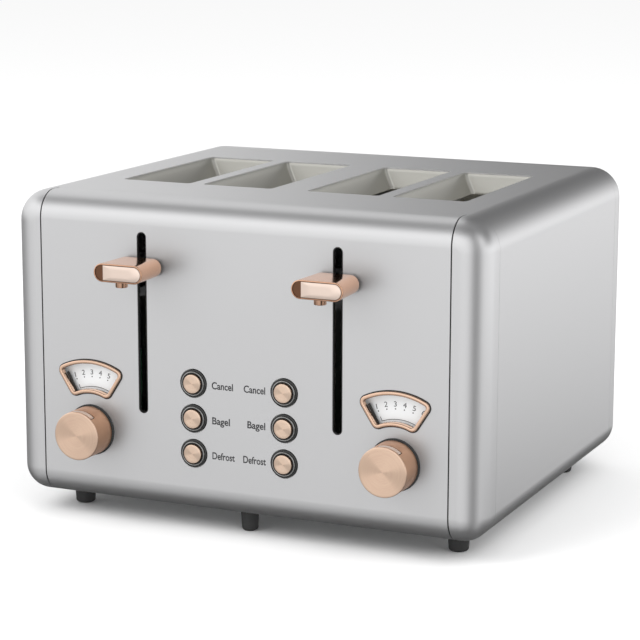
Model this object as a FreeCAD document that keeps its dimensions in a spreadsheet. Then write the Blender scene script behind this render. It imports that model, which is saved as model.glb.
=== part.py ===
"""Pop up toaster with four slots, two levers, two browning knobs and six push buttons.

Millimetres. +Z is up, the control panel faces -Y, and +X is to the right of someone facing the panel.
The origin is on the table, under the middle of the overall box. Each sub-part is one object of the
document, bound to the cells of the sheet named Sizes, and its Label is the name of its file.
"""
import FreeCAD, Part
import os
import re

import Sketcher

Vector = FreeCAD.Vector
Rotation = FreeCAD.Rotation

# ---------------------------------------------------------------- driving dimensions

SIZES = {
    # outer body
    "body_width": 320,
    "body_depth": 279,
    "body_height": 196.6,
    "foot_height": 14,
    "skin": 0.8,
    "cap_depth": 23.6,
    "top_radius": 20,
    "bottom_radius": 17,
    "edge_radius": 16.5,
    "seam_x": 138.45,
    "seam_gap": 0.9,
    "side_gap": 0.2,
    "flange": 24,
    "base_thickness": 1.2,
    "handle_reach": 30.7,
    "rear_reach": 5,
    # bread slots
    "slot_inner_x": 36.84,
    "slot_outer_x": 95.2,
    "slot_width": 49.2,
    "slot_length": 128.8,
    "slot_setback": 73.3,
    "slot_corner": 3,
    "throat_width": 37,
    "throat_length": 124,
    "throat_depth": 14,
    "throat_wall": 0.8,
    "throat_flange": 4,
    # levers and what they carry
    "lever_x": 66.4,
    "lever_slot_width": 6.6,
    "lever_slot_low": 60.6,
    "lever_slot_high": 175.8,
    "trim_wall": 0.5,
    "trim_border": 4,
    "trim_thickness": 1.5,
    "handle_height_z": 154.4,
    "handle_width": 33.3,
    "handle_height": 11.5,
    "handle_taper": 3.3,
    "handle_gap": 2,
    "handle_rim": 0.8,
    "handle_round": 5.7,
    "inlay_start": 6.4,
    "stub_radius": 3.8,
    "stub_drop": 3.3,
    "stub_setback": 5,
    "stem_width": 4.6,
    "stem_height": 7.4,
    "carriage_setback": 24,
    "carriage_depth": 10,
    "carriage_height": 8,
    "carriage_boss": 14,
    "guide_radius": 3,
    "running_gap": 0.08,
    "travel_down": 88,
    "travel_up": 14,
    "rack_drop": 30,
    "rack_bar": 6,
    "rack_thickness": 1.6,
    "rack_neck": 14,
    "finger_radius": 1,
    "finger_span": 20,
    "finger_pitch": 17,
    "finger_count": 8,
    # chassis
    "chassis_setback": 60,
    "chassis_span": 153,
    "chassis_thickness": 1.2,
    "chassis_top": 191,
    "shelf_width": 44,
    "shelf_reach": 38,
    "bread_zone_low": 36,
    "bread_zone_high": 176,
    "heater_offset": 29.18,
    "heater_thickness": 1,
    "ribbon_height": 2.4,
    "ribbon_thickness": 0.3,
    "ribbon_pitch": 10,
    "ribbon_count": 13,
    "guard_open": 18.3,
    "guard_close": 6,
    "guard_high": 174,
    "guard_low": 38,
    "wire_radius": 0.9,
    "rail_radius": 1.2,
    "guard_wires": 8,
    "guard_pitch": 17,
    "link_gap": 4,
    "spring_radius": 3.4,
    "spring_wire": 0.5,
    "spring_turns": 12,
    "spring_offset": 10,
    "magnet_offset": 17,
    "magnet_radius": 8,
    "magnet_height": 50,
    "magnet_core": 3,
    # gauges and knobs
    "knob_x": 104.1,
    "knob_z": 46.2,
    "knob_radius": 15.5,
    "knob_reach": 19.5,
    "knob_gap": 1.4,
    "knob_bevel": 0.4,
    "knob_turn": 12,
    "notch_depth": 0.9,
    "notch_length": 5,
    "notch_setback": 0.9,
    "notch_angle": 60,
    "shaft_radius": 3,
    "shaft_length": 12,
    "shaft_hole": 4,
    "washer_radius": 16.4,
    "washer_thickness": 1.1,
    "gauge_outer": 45.5,
    "gauge_inner": 23.5,
    "gauge_half_angle": 32.5,
    "gauge_rim": 2.2,
    "gauge_proud": 1.5,
    "gauge_corner": 3,
    "collar_wall": 0.9,
    "collar_depth": 1.6,
    "window_gap": 0.1,
    "dial_setback": 4.5,
    "dial_thickness": 0.8,
    "dial_margin": 2.5,
    "dial_wall": 1.2,
    "needle_setback": 2,
    "needle_thickness": 0.8,
    "needle_width": 1.4,
    "needle_reach": 40,
    "needle_hub": 5,
    "hub_gap": 0.05,
    "needle_rest": -27,
    # push buttons
    "button_x": 31,
    "button_low": 38.6,
    "button_pitch": 22.35,
    "button_radius": 6.5,
    "button_proud": 2,
    "button_body": 2,
    "button_stem": 3.5,
    "button_length": 9,
    "button_travel": 1.8,
    "ring_bore": 6.8,
    "ring_radius": 8.9,
    "ring_proud": 0.8,
    "ring_flange": 11,
    "ring_flange_thickness": 1,
    "ring_hole": 9.3,
    # electronics
    "board_setback": 13,
    "board_thickness": 1.6,
    "board_inner_x": 20,
    "board_outer_x": 124,
    "board_low": 14,
    "board_high": 98,
    "board_notch": 9,
    "board_notch_low": 52,
    "pot_radius": 9,
    "pot_height": 5,
    "switch_size": 7,
    "switch_gap": 0.1,
    # base, trays, feet, gland, screws
    "tray_width": 133,
    "tray_x": 71.5,
    "tray_low": 17.2,
    "tray_height": 7,
    "tray_wall": 0.8,
    "tray_front": 64,
    "tray_gap": 0.6,
    "lip_height": 11,
    "lip_thickness": 1.5,
    "pull_width": 50,
    "pull_height": 2.4,
    "rib_gap": 0.2,
    "rib_width": 3,
    "rib_outer_x": 135,
    "rib_inner_x": 10,
    "foot_inset": 28.5,
    "foot_setback": 38,
    "foot_radius": 7.2,
    "centre_foot_radius": 6,
    "centre_foot_x": -4,
    "centre_foot_setback": 24,
    "foot_taper": 1,
    "foot_round": 2,
    "gland_z": 62,
    "gland_bore": 3.6,
    "gland_hole": 6,
    "gland_flange": 9,
    "gland_proud": 3,
    "gland_length": 10,
    "screw_inset": 35,
    "screw_setback": 46,
    "screw_shank": 1.4,
    "screw_head": 2.8,
    "screw_head_height": 1.4,
    "screw_length": 5,
    "screw_hole": 1.5,
    "vent_width": 3,
    "vent_length": 34,
    "vent_pitch": 9,
    "vent_count": 9,
    "vent_low": 70,
}

# Places worked out from the driving dimensions.
PLACES = {
    "front_y": "handle_reach - (body_depth + handle_reach + rear_reach) / 2",
    "rear_y": "front_y + body_depth",
    "inside_y": "front_y + skin",
    "low_z": "foot_height",
    "top_z": "foot_height + body_height",
    "under_deck_z": "top_z - skin",
    "base_z": "foot_height + skin",
    "floor_z": "base_z + base_thickness",
    "foot_x": "body_width / 2 - foot_inset",
    "screw_x": "body_width / 2 - screw_inset",
    "edge_round": "min(edge_radius; bottom_radius - 0.5; cap_depth - skin)",
    "wrap_y": "rear_y - cap_depth - side_gap",
    "slot_front_y": "front_y + slot_setback",
    "slot_mid_y": "slot_front_y + slot_length / 2",
    "chassis_front_y": "front_y + chassis_setback",
    "chassis_rear_y": "chassis_front_y + chassis_span",
    "zone_front_y": "chassis_front_y + chassis_thickness",
    "lever_z": "low_z + handle_height_z",
    "carriage_y": "front_y + carriage_setback",
    "guide_y": "carriage_y + carriage_depth / 2",
    "rack_z": "lever_z - rack_drop",
    "shelf_z": "low_z + chassis_top",
    "knob_height": "low_z + knob_z",
    "slit_width": "lever_slot_width - 2 * window_gap - 2 * trim_wall",
    "slit_low": "low_z + lever_slot_low + window_gap + trim_wall",
    "slit_high": "low_z + lever_slot_high - window_gap - trim_wall",
    "tray_z": "low_z + tray_low",
    "board_y": "front_y + board_setback",
}

SIDES = (("left", "-1"), ("right", "1"))

# Rotations that point a shape's own +Z along X, along Y, or out of the front panel.
ALONG_X = Rotation(Vector(0, 1, 0), 90)
ALONG_Y = Rotation(Vector(1, 0, 0), -90)
OUTWARD = Rotation(Vector(1, 0, 0), 90)

doc = FreeCAD.newDocument("PopUpToaster")
sheet = doc.addObject("Spreadsheet::Sheet", "Sizes")
nodes = []


def fill_sheet():
    """Write every driving dimension into the sheet, one row each, with its alias."""
    for row, (alias, size) in enumerate(SIZES.items(), start=1):
        sheet.set(f"A{row}", alias.replace("_", " "))
        sheet.set(f"B{row}", str(size))
        sheet.setAlias(f"B{row}", alias)
    doc.recompute()


# ---------------------------------------------------------------- expressions

def spell_out(text, cell):
    """Replace the names of places by their formulas, and the names of sizes by cell(name)."""
    def word(match):
        name = match.group(0)
        if name in PLACES:
            return "(" + spell_out(PLACES[name], cell) + ")"
        if name in SIZES:
            return cell(name)
        return name
    return re.sub(r"[a-z_]+", word, text)


def bind(item, prop, text):
    """Tie one property of an object to a formula of sheet cells."""
    item.setExpression(prop, spell_out(text, lambda name: "Sizes." + name))


def number(text):
    """The value now of a formula of sheet cells, in millimetres or degrees."""
    plain = spell_out(text, lambda name: "(" + repr(float(sheet.get(name))) + ")")
    return FreeCAD.Units.Quantity(plain).Value


def place(item, at, turn=None):
    """Give an object its Placement, with a position that follows the sheet."""
    item.Placement = FreeCAD.Placement(Vector(), turn or Rotation())
    for axis, text in zip("xyz", at):
        bind(item, f"Placement.Base.{axis}", text)
    return item


def keep(item, node):
    """Name an object as a finished sub-part."""
    item.Label = node
    nodes.append(item)
    return item


# ---------------------------------------------------------------- primitives and booleans

def block(name, x, y, z):
    """A box between two formulas along each axis."""
    item = doc.addObject("Part::Box", name)
    for prop, (low, high) in zip(("Length", "Width", "Height"), (x, y, z)):
        bind(item, prop, f"({high}) - ({low})")
    return place(item, (x[0], y[0], z[0]))


def cylinder(name, radius, length, at, turn=None):
    """A round bar that starts at a point and runs along the turned +Z."""
    item = doc.addObject("Part::Cylinder", name)
    bind(item, "Radius", radius)
    bind(item, "Height", length)
    return place(item, at, turn)


def merge(name, items):
    """One solid from touching or overlapping pieces."""
    if len(items) == 1:
        return items[0]
    item = doc.addObject("Part::MultiFuse", name)
    item.Shapes = items
    item.Refine = True
    return item


def cut(name, base, tools):
    """A piece with every tool taken out of it."""
    item = doc.addObject("Part::Cut", name)
    item.Base = base
    item.Tool = merge(name + "Tools", tools)
    return item


def overlap(name, items):
    """What several solids have in common."""
    item = doc.addObject("Part::MultiCommon", name)
    item.Shapes = items
    return item


def gather(name, items):
    """Separate solids in one object."""
    item = doc.addObject("Part::Compound", name)
    item.Links = items
    return item


def round_edges(name, base, radius, chosen):
    """Round the edges that a test picks out."""
    doc.recompute()
    item = doc.addObject("Part::Fillet", name)
    item.Base = base
    size = number(radius)
    numbered = enumerate(base.Shape.Edges, start=1)
    item.Edges = [(index, size, size) for index, edge in numbered if chosen(edge)]
    return item


def runs_along(edge, direction):
    """Whether an edge is straight and parallel to a direction."""
    if not isinstance(edge.Curve, (Part.Line, Part.LineSegment)):
        return False
    return edge.tangentAt(edge.FirstParameter).cross(direction).Length < 1e-6


def slit(name, x, y, z, along):
    """A round-ended bar between two formulas along each axis, long in X or in Z."""
    short = z if along == "x" else x
    radius = f"(({short[1]}) - ({short[0]})) / 2"
    middle_x = f"(({x[0]}) + ({x[1]})) / 2"
    middle_z = f"(({z[0]}) + ({z[1]})) / 2"
    length = f"({y[1]}) - ({y[0]})"
    if along == "x":
        core = block(name + "Core", (f"{x[0]} + {radius}", f"{x[1]} - {radius}"), y, z)
        ends = [(f"{x[0]} + {radius}", y[0], middle_z), (f"{x[1]} - {radius}", y[0], middle_z)]
    else:
        core = block(name + "Core", x, y, (f"{z[0]} + {radius}", f"{z[1]} - {radius}"))
        ends = [(middle_x, y[0], f"{z[0]} + {radius}"), (middle_x, y[0], f"{z[1]} - {radius}")]
    caps = [cylinder(name + "End", radius, length, end, ALONG_Y) for end in ends]
    return merge(name, [core] + caps)


# ---------------------------------------------------------------- bodies with sketches

def new_body(name, at=("0", "0", "0"), turn=None):
    """An empty PartDesign body at its place."""
    return place(doc.addObject("PartDesign::Body", name), at, turn)


def plane_of(body, role):
    """One of the body's own origin planes."""
    return next(feature for feature in body.Origin.OriginFeatures if feature.Role == role)


def empty_sketch(body, role, name):
    """A sketch on one of the body's own planes."""
    sketch = body.newObject("Sketcher::SketchObject", name)
    sketch.AttachmentSupport = [(plane_of(body, role), "")]
    sketch.MapMode = "FlatFace"
    return sketch


def fix_point(sketch, geometry, point, x, y):
    """Hold one point of a sketch at two formulas from the sketch's origin."""
    for kind, text in (("DistanceX", x), ("DistanceY", y)):
        index = sketch.addConstraint(Sketcher.Constraint(kind, -1, 1, geometry, point, number(text)))
        bind(sketch, f"Constraints[{index}]", text)


def draw_polygon(sketch, corners):
    """A closed outline with straight sides, each corner held by formulas."""
    points = [Vector(number(x), number(y), 0) for x, y in corners]
    count = len(points)
    first = len(sketch.Geometry)
    for index, start in enumerate(points):
        sketch.addGeometry(Part.LineSegment(start, points[(index + 1) % count]), False)
    for index in range(count):
        following = first + (index + 1) % count
        sketch.addConstraint(Sketcher.Constraint("Coincident", first + index, 2, following, 1))
    for index, (x, y) in enumerate(corners):
        fix_point(sketch, first + index, 1, x, y)
    return sketch


def draw_circle(sketch, x, y, radius):
    """A circle held by formulas."""
    centre = Vector(number(x), number(y), 0)
    index = sketch.addGeometry(Part.Circle(centre, Vector(0, 0, 1), number(radius)), False)
    fix_point(sketch, index, 3, x, y)
    constraint = sketch.addConstraint(Sketcher.Constraint("Radius", index, number(radius)))
    bind(sketch, f"Constraints[{constraint}]", radius)
    return sketch


def rectangle(x, y):
    """The corners of a rectangle between two formulas each way."""
    return [(x[0], y[0]), (x[1], y[0]), (x[1], y[1]), (x[0], y[1])]


def pad(body, sketch, length, both_ways=False):
    """Extrude a sketch into the body."""
    feature = body.newObject("PartDesign::Pad", sketch.Name + "Pad")
    feature.Profile = sketch
    feature.Midplane = both_ways
    bind(feature, "Length", length)
    sketch.Visibility = False
    return feature


def pocket(body, sketch, length, reverse=False):
    """Cut a sketch out of the body, and make sure that something went."""
    doc.recompute()
    before = body.Shape.Volume
    feature = body.newObject("PartDesign::Pocket", sketch.Name + "Pocket")
    feature.Profile = sketch
    feature.Reversed = reverse
    bind(feature, "Length", length)
    doc.recompute()
    if feature.Shape.Volume >= before:
        raise ValueError(sketch.Name + " cuts nothing")
    return feature


def blend(body, feature, radius, chosen):
    """Round chosen edges of the body's latest feature."""
    doc.recompute()
    picked = [f"Edge{index}" for index, edge in enumerate(feature.Shape.Edges, start=1) if chosen(edge)]
    rounding = body.newObject("PartDesign::Fillet", feature.Name + "Round")
    rounding.Base = (feature, picked)
    bind(rounding, "Radius", radius)
    return rounding


def hollow(body, feature, wall, opened):
    """Turn the body into a shell that is open at the chosen faces."""
    doc.recompute()
    picked = [f"Face{index}" for index, face in enumerate(feature.Shape.Faces, start=1) if opened(face)]
    shell = body.newObject("PartDesign::Thickness", feature.Name + "Shell")
    shell.Base = (feature, picked)
    shell.Reversed = True
    bind(shell, "Value", wall)
    return shell


def turned(name, outline, at, turn=None):
    """A round piece: an outline of (radius, height) corners, spun about the body's own Z."""
    body = new_body(name, at, turn)
    sketch = draw_polygon(empty_sketch(body, "XZ_Plane", name + "Outline"), outline)
    spin = body.newObject("PartDesign::Revolution", name + "Spin")
    spin.Profile = sketch
    spin.ReferenceAxis = (sketch, ["V_Axis"])
    spin.Angle = 360
    return body, spin


def repeat(body, feature, sketch, axis, length, count):
    """Repeat a feature in a row along one axis of its sketch."""
    row = body.newObject("PartDesign::LinearPattern", feature.Name + "Row")
    row.Originals = [feature]
    row.Direction = (sketch, [axis])
    bind(row, "Length", length)
    bind(row, "Occurrences", count)
    body.Tip = row
    return row


# ---------------------------------------------------------------- outer skin

def make_cap(name, at, turn=None):
    """The rounded pan that closes one end of the body; its open side faces the body's own +Y."""
    body = new_body(name, at, turn)
    corners = rectangle(("-body_width / 2", "body_width / 2"), ("0", "body_height"))
    sketch = draw_polygon(empty_sketch(body, "XZ_Plane", name + "Outline"), corners)
    shape = pad(body, sketch, "cap_depth")
    middle = number("body_height / 2")
    across = Vector(0, 1, 0)
    shape = blend(body, shape, "top_radius",
                  lambda edge: runs_along(edge, across) and edge.BoundBox.ZMin > middle)
    shape = blend(body, shape, "bottom_radius",
                  lambda edge: runs_along(edge, across) and edge.BoundBox.ZMax < middle / 4)
    face_y = number("-cap_depth")
    shape = blend(body, shape, "edge_round", lambda edge: edge.BoundBox.YMax < face_y + 0.01)
    hollow(body, shape, "skin", lambda face: face.BoundBox.YMin > -0.01)
    return body


def make_front():
    """Front panel with its cut-outs, and the two corner pieces beside it."""
    cap = make_cap("FrontCap", ("0", "front_y + cap_depth", "low_z"))
    depth = ("front_y - 1", "front_y + cap_depth")
    height = ("low_z - 1", "top_z + 1")
    centre = block("PanelRange", ("-seam_x + seam_gap / 2", "seam_x - seam_gap / 2"), depth, height)
    sheet_metal = overlap("PanelSheet", [cap, centre])
    through = ("front_y - 1", "front_y + skin + 1")
    tools = []
    for side, sign in SIDES:
        lever = f"{sign} * lever_x"
        width = (f"{lever} - lever_slot_width / 2", f"{lever} + lever_slot_width / 2")
        travel = ("low_z + lever_slot_low", "low_z + lever_slot_high")
        tools.append(slit("LeverCut", width, through, travel, "z"))
        tools.append(fan("WindowCut", f"{sign} * knob_x", "window_gap + collar_wall - gauge_rim", through,
                         "gauge_corner - gauge_rim + collar_wall + window_gap"))
        shaft = (f"{sign} * knob_x", through[0], "knob_height")
        tools.append(cylinder("ShaftCut", "shaft_hole", "skin + 2", shaft, ALONG_Y))
        for row in range(3):
            middle = (f"{sign} * button_x", through[0], f"low_z + button_low + {row} * button_pitch")
            tools.append(cylinder("RingCut", "ring_hole", "skin + 2", middle, ALONG_Y))
    keep(cut("FrontPanel", sheet_metal, tools), "front_panel")
    for side, sign in SIDES:
        edge = f"{sign} * (seam_x + seam_gap / 2)"
        outside = f"{sign} * (body_width / 2 + 1)"
        ordered = (outside, edge) if sign == "-1" else (edge, outside)
        keep(overlap("Corner", [cap, block("CornerRange", ordered, depth, height)]), f"front_corner_{side}")


def make_rear():
    """Rear panel: one pan with vents, two tray openings and the cord gland's hole."""
    cap = make_cap("RearCap", ("0", "rear_y - cap_depth", "low_z"), Rotation(Vector(0, 0, 1), 180))
    through = ("rear_y - skin - 1", "rear_y + 1")
    tools = [cylinder("GlandCut", "gland_hole", "skin + 2", ("0", through[0], "low_z + gland_z"), ALONG_Y)]
    for side, sign in SIDES:
        middle = f"{sign} * tray_x"
        width = (f"{middle} - tray_width / 2 - tray_gap", f"{middle} + tray_width / 2 + tray_gap")
        height = ("tray_z - tray_gap", "tray_z + tray_height + tray_gap")
        tools.append(block("TrayCut", width, through, height))
        for row in range(int(number("vent_count"))):
            level = f"low_z + vent_low + {row} * vent_pitch"
            span = (f"{middle} - vent_length / 2", f"{middle} + vent_length / 2")
            tools.append(slit("VentCut", span, through, (level, f"{level} + vent_width"), "x"))
    keep(cut("RearPanel", cap, tools), "rear_panel")


def make_wrap():
    """Both sides and the deck in one sheet, with four long slots and an open bottom."""
    body = new_body("MainWrap", ("0", "wrap_y", "low_z"))
    corners = rectangle(("-body_width / 2", "body_width / 2"), ("0", "body_height"))
    sketch = draw_polygon(empty_sketch(body, "XZ_Plane", "WrapOutline"), corners)
    shape = pad(body, sketch, "body_depth - 2 * cap_depth - 2 * side_gap")
    middle = number("body_height / 2")
    across = Vector(0, 1, 0)
    shape = blend(body, shape, "top_radius",
                  lambda edge: runs_along(edge, across) and edge.BoundBox.ZMin > middle)
    shape = blend(body, shape, "bottom_radius",
                  lambda edge: runs_along(edge, across) and edge.BoundBox.ZMax < middle / 4)
    hollow(body, shape, "skin", lambda face: face.BoundBox.YLength < 0.01)
    inner = "body_width / 2 - bottom_radius - flange"
    length = ("-body_depth + 2 * cap_depth - 1", "1")
    opening = empty_sketch(body, "XY_Plane", "BottomOpening")
    draw_polygon(opening, rectangle((f"-({inner})", inner), length))
    pocket(body, opening, "2 * skin", reverse=True)
    slots = empty_sketch(body, "XY_Plane", "DeckSlots")
    start = "slot_front_y - wrap_y"
    for side, sign in SIDES:
        for centre in ("slot_inner_x", "slot_outer_x"):
            width = (f"{sign} * {centre} - slot_width / 2", f"{sign} * {centre} + slot_width / 2")
            draw_polygon(slots, rectangle(width, (start, f"{start} + slot_length")))
    shape = pocket(body, slots, "body_height + 1", reverse=True)
    thin = number("skin")
    upright = Vector(0, 0, 1)
    outside = number("slot_outer_x + slot_width")
    blend(body, shape, "slot_corner", lambda edge: runs_along(edge, upright)
          and abs(edge.Length - thin) < 0.01 and edge.BoundBox.ZMin > middle
          and abs(edge.BoundBox.XMin) < outside)
    holes = screw_holes("WrapHoles")
    keep(cut("WrapSheet", body, holes), "main_wrap")


# ---------------------------------------------------------------- base, feet, screws

def screw_places():
    """The four bottom screws, as (x, y) formulas."""
    return [(f"{sign} * screw_x", row) for side, sign in SIDES
            for row in ("front_y + screw_setback", "rear_y - screw_setback")]


def screw_holes(name):
    """Clearance holes for the bottom screws."""
    return [cylinder(name, "screw_hole", "screw_length", (x, y, "low_z - 1")) for x, y in screw_places()]


def make_screws():
    """Four screws that hold the base plate to the wrap's flanges."""
    screws = []
    for x, y in screw_places():
        head = cylinder("ScrewHead", "screw_head", "screw_head_height", (x, y, "low_z - screw_head_height"))
        shank = cylinder("ScrewShank", "screw_shank", "screw_length", (x, y, "low_z - screw_head_height"))
        screws.append(merge("Screw", [head, shank]))
    keep(gather("Screws", screws), "bottom_screws")


def make_base():
    """Base plate with vent slots and the ribs that carry the crumb trays."""
    half = "body_width / 2 - bottom_radius - side_gap"
    depth = ("front_y + edge_radius + side_gap", "rear_y - edge_radius - side_gap")
    pieces = [block("BaseSheet", (f"-({half})", half), depth, ("base_z", "floor_z"))]
    for side, sign in SIDES:
        for rib in ("rib_outer_x", "rib_inner_x"):
            width = (f"{sign} * {rib} - rib_width / 2", f"{sign} * {rib} + rib_width / 2")
            length = ("zone_front_y + 1", "chassis_rear_y - 1")
            pieces.append(block("TrayRib", width, length, ("floor_z", "tray_z - rib_gap")))
    tools = screw_holes("BaseHoles")
    for side, sign in SIDES:
        for row in range(int(number("vent_count"))):
            start = f"slot_front_y + {row} * 1.4 * vent_pitch"
            span = (f"{sign} * tray_x - vent_length", f"{sign} * tray_x + vent_length")
            width = (start, f"{start} + vent_width")
            tools.append(block("BaseVent", span, width, ("base_z - 1", "floor_z + 1")))
    keep(cut("BasePlate", merge("BaseSolid", pieces), tools), "base_plate")


def make_feet():
    """Six black feet, the middle ones slimmer and nearer the edge."""
    feet = []
    spots = [(f"{sign} * foot_x", edge, "foot_radius") for side, sign in SIDES
             for edge in ("front_y + foot_setback", "rear_y - foot_setback")]
    spots += [("centre_foot_x", edge, "centre_foot_radius") for edge in
              ("front_y + centre_foot_setback", "rear_y - centre_foot_setback")]
    for x, y, radius in spots:
        outline = [("0", "0"), (f"{radius} - foot_taper", "0"),
                   (radius, "foot_height"), ("0", "foot_height")]
        body, spin = turned("Foot", outline, (x, y, "0"))
        blend(body, spin, "foot_round", lambda edge: edge.BoundBox.ZMax < 0.01 and edge.Length > 1
              and not runs_along(edge, Vector(1, 0, 0)))
        feet.append(body)
    keep(gather("Feet", feet), "feet")


# ---------------------------------------------------------------- chassis and bread slots

def make_chassis():
    """Two upright plates that carry the heaters, the guards and the springs' shelves."""
    half = "(body_width / 2 - bottom_radius)"
    for end, plate_y in (("front", "chassis_front_y"), ("rear", "chassis_rear_y")):
        depth = (plate_y, f"{plate_y} + chassis_thickness")
        through = (f"{plate_y} - 1", f"{plate_y} + chassis_thickness + 1")
        pieces = [block("ChassisPlate", (f"-{half}", half), depth, ("floor_z", "shelf_z"))]
        tools = []
        for side, sign in SIDES:
            for centre in ("slot_inner_x", "slot_outer_x"):
                middle = f"{sign} * {centre}"
                width = (f"{middle} - rack_thickness", f"{middle} + rack_thickness")
                height = ("rack_z - travel_down - 2", "rack_z + travel_up + rack_bar + 2")
                tools.append(block("RackSlot", width, through, height))
                for direction in ("-1", "1"):
                    rail = f"{middle} - {direction} * (guard_open - guard_close / 2 + 0.5)"
                    reach = "(guard_close / 2 + 1 + rail_radius)"
                    for level in ("guard_low", "guard_high"):
                        span = (f"{rail} - {reach}", f"{rail} + {reach}")
                        rise = (f"low_z + {level} - rail_radius - 0.3",
                                f"low_z + {level} + rail_radius + 0.3")
                        tools.append(block("RailSlot", span, through, rise))
            if end == "front":
                lever = f"{sign} * lever_x"
                width = (f"{lever} - shelf_width / 2", f"{lever} + shelf_width / 2")
                shelf = ("chassis_front_y - shelf_reach", "chassis_front_y")
                rise = ("shelf_z - chassis_thickness", "shelf_z")
                pieces.append(block("SpringShelf", width, shelf, rise))
            else:
                middle = f"{sign} * tray_x"
                width = (f"{middle} - tray_width / 2 - 1", f"{middle} + tray_width / 2 + 1")
                tools.append(block("TrayPass", width, through, ("tray_z - 1", "tray_z + tray_height + 1")))
        keep(cut("Chassis", merge("ChassisSolid", pieces), tools), f"chassis_{end}")


def funnel(name, middle, wall):
    """A tapering block under one deck opening, grown by the wall's thickness all round."""
    item = doc.addObject("Part::Wedge", name)
    half_length = "(slot_length / 2 + {0})".format(wall)
    half_low = "(throat_length / 2 + {0})".format(wall)
    limits = {
        "Xmin": f"-(throat_width / 2 + {wall})", "Xmax": f"throat_width / 2 + {wall}",
        "Zmin": f"-{half_low}", "Zmax": half_low,
        "X2min": f"-(slot_width / 2 + {wall})", "X2max": f"slot_width / 2 + {wall}",
        "Z2min": f"-{half_length}", "Z2max": half_length,
        "Ymin": "0", "Ymax": "throat_depth",
    }
    for prop, text in limits.items():
        bind(item, prop, text)
    return place(item, (middle, "slot_mid_y", "under_deck_z - throat_depth"), OUTWARD)


def make_throats():
    """One flared frame under each pair of deck openings."""
    for side, sign in SIDES:
        edges = (f"{sign} * (slot_inner_x - slot_width / 2 - throat_flange)",
                 f"{sign} * (slot_outer_x + slot_width / 2 + throat_flange)")
        span = edges if sign == "1" else edges[::-1]
        depth = ("slot_front_y - throat_flange", "slot_front_y + slot_length + throat_flange")
        pieces = [block("ThroatFlange", span, depth, ("under_deck_z - throat_wall", "under_deck_z"))]
        tools = []
        for centre in ("slot_inner_x", "slot_outer_x"):
            pieces.append(funnel("ThroatOuter", f"{sign} * {centre}", "throat_wall"))
            tools.append(funnel("ThroatInner", f"{sign} * {centre}", "0"))
        keep(cut("Throats", merge("ThroatSolid", pieces), tools), f"slot_throats_{side}")


def make_heaters():
    """Six upright boards, each with rows of flat ribbon on both faces."""
    spots = [("outer", "slot_outer_x + heater_offset"), ("middle", "slot_outer_x - heater_offset"),
             ("inner", "slot_inner_x - heater_offset")]
    for side, sign in SIDES:
        for spot, distance in spots:
            body = new_body("Heater", (f"{sign} * ({distance})", "zone_front_y", "low_z + bread_zone_low"))
            length = "chassis_rear_y - zone_front_y"
            height = "bread_zone_high - bread_zone_low"
            board = empty_sketch(body, "YZ_Plane", "Board")
            draw_polygon(board, rectangle(("0", length), ("0", height)))
            pad(body, board, "heater_thickness", both_ways=True)
            start = f"({height} - (ribbon_count - 1) * ribbon_pitch - ribbon_height) / 2"
            strip = rectangle(("ribbon_pitch", f"{length} - ribbon_pitch"),
                              (start, f"{start} + ribbon_height"))
            sketch = draw_polygon(empty_sketch(body, "YZ_Plane", "Ribbon"), strip)
            ribbon = pad(body, sketch, "heater_thickness + 2 * ribbon_thickness", both_ways=True)
            repeat(body, ribbon, sketch, "V_Axis", "(ribbon_count - 1) * ribbon_pitch", "ribbon_count")
            keep(body, f"heater_{side}_{spot}")


def make_ladder(rail, ends):
    """One wire ladder: a low and a high rail along the slot, and the upright wires between them."""
    pieces = []
    for level in ("low_z + guard_low", "low_z + guard_high"):
        length = f"({ends[1]}) - ({ends[0]})"
        pieces.append(cylinder("Rail", "rail_radius", length, (rail, ends[0], level), ALONG_Y))
    first = "(chassis_span + chassis_thickness - (guard_wires - 1) * guard_pitch) / 2"
    for wire in range(int(number("guard_wires"))):
        foot = (rail, f"chassis_front_y + {first} + {wire} * guard_pitch", "low_z + guard_low")
        pieces.append(cylinder("Wire", "wire_radius", "guard_high - guard_low", foot))
    return merge("GuardLadder", pieces)


def make_guards():
    """Two wire frames per pair of slots; one holds the left faces of the bread, the other the right."""
    for side, sign in SIDES:
        for face, direction in (("left", "1"), ("right", "-1")):
            if face == "left":
                ends = ("chassis_front_y - link_gap", "chassis_rear_y + chassis_thickness + 1")
                link_y = ends[0]
            else:
                ends = ("chassis_front_y - 1", "chassis_rear_y + chassis_thickness + link_gap")
                link_y = ends[1]
            offset = f"{direction} * guard_open"
            rails = [f"{sign} * {centre} - {offset}" for centre in ("slot_inner_x", "slot_outer_x")]
            ladders = [make_ladder(rail, ends) for rail in rails]
            ordered = rails if sign == "1" else rails[::-1]
            start = (f"{ordered[0]} + rail_radius", link_y, "low_z + guard_high")
            span = f"({ordered[1]}) - ({ordered[0]}) - 2 * rail_radius"
            link = cylinder("Link", "rail_radius", span, start, ALONG_X)
            keep(gather("GuardFrame", ladders + [link]), f"guard_{side}_{face}_faces")


# ---------------------------------------------------------------- levers

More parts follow.
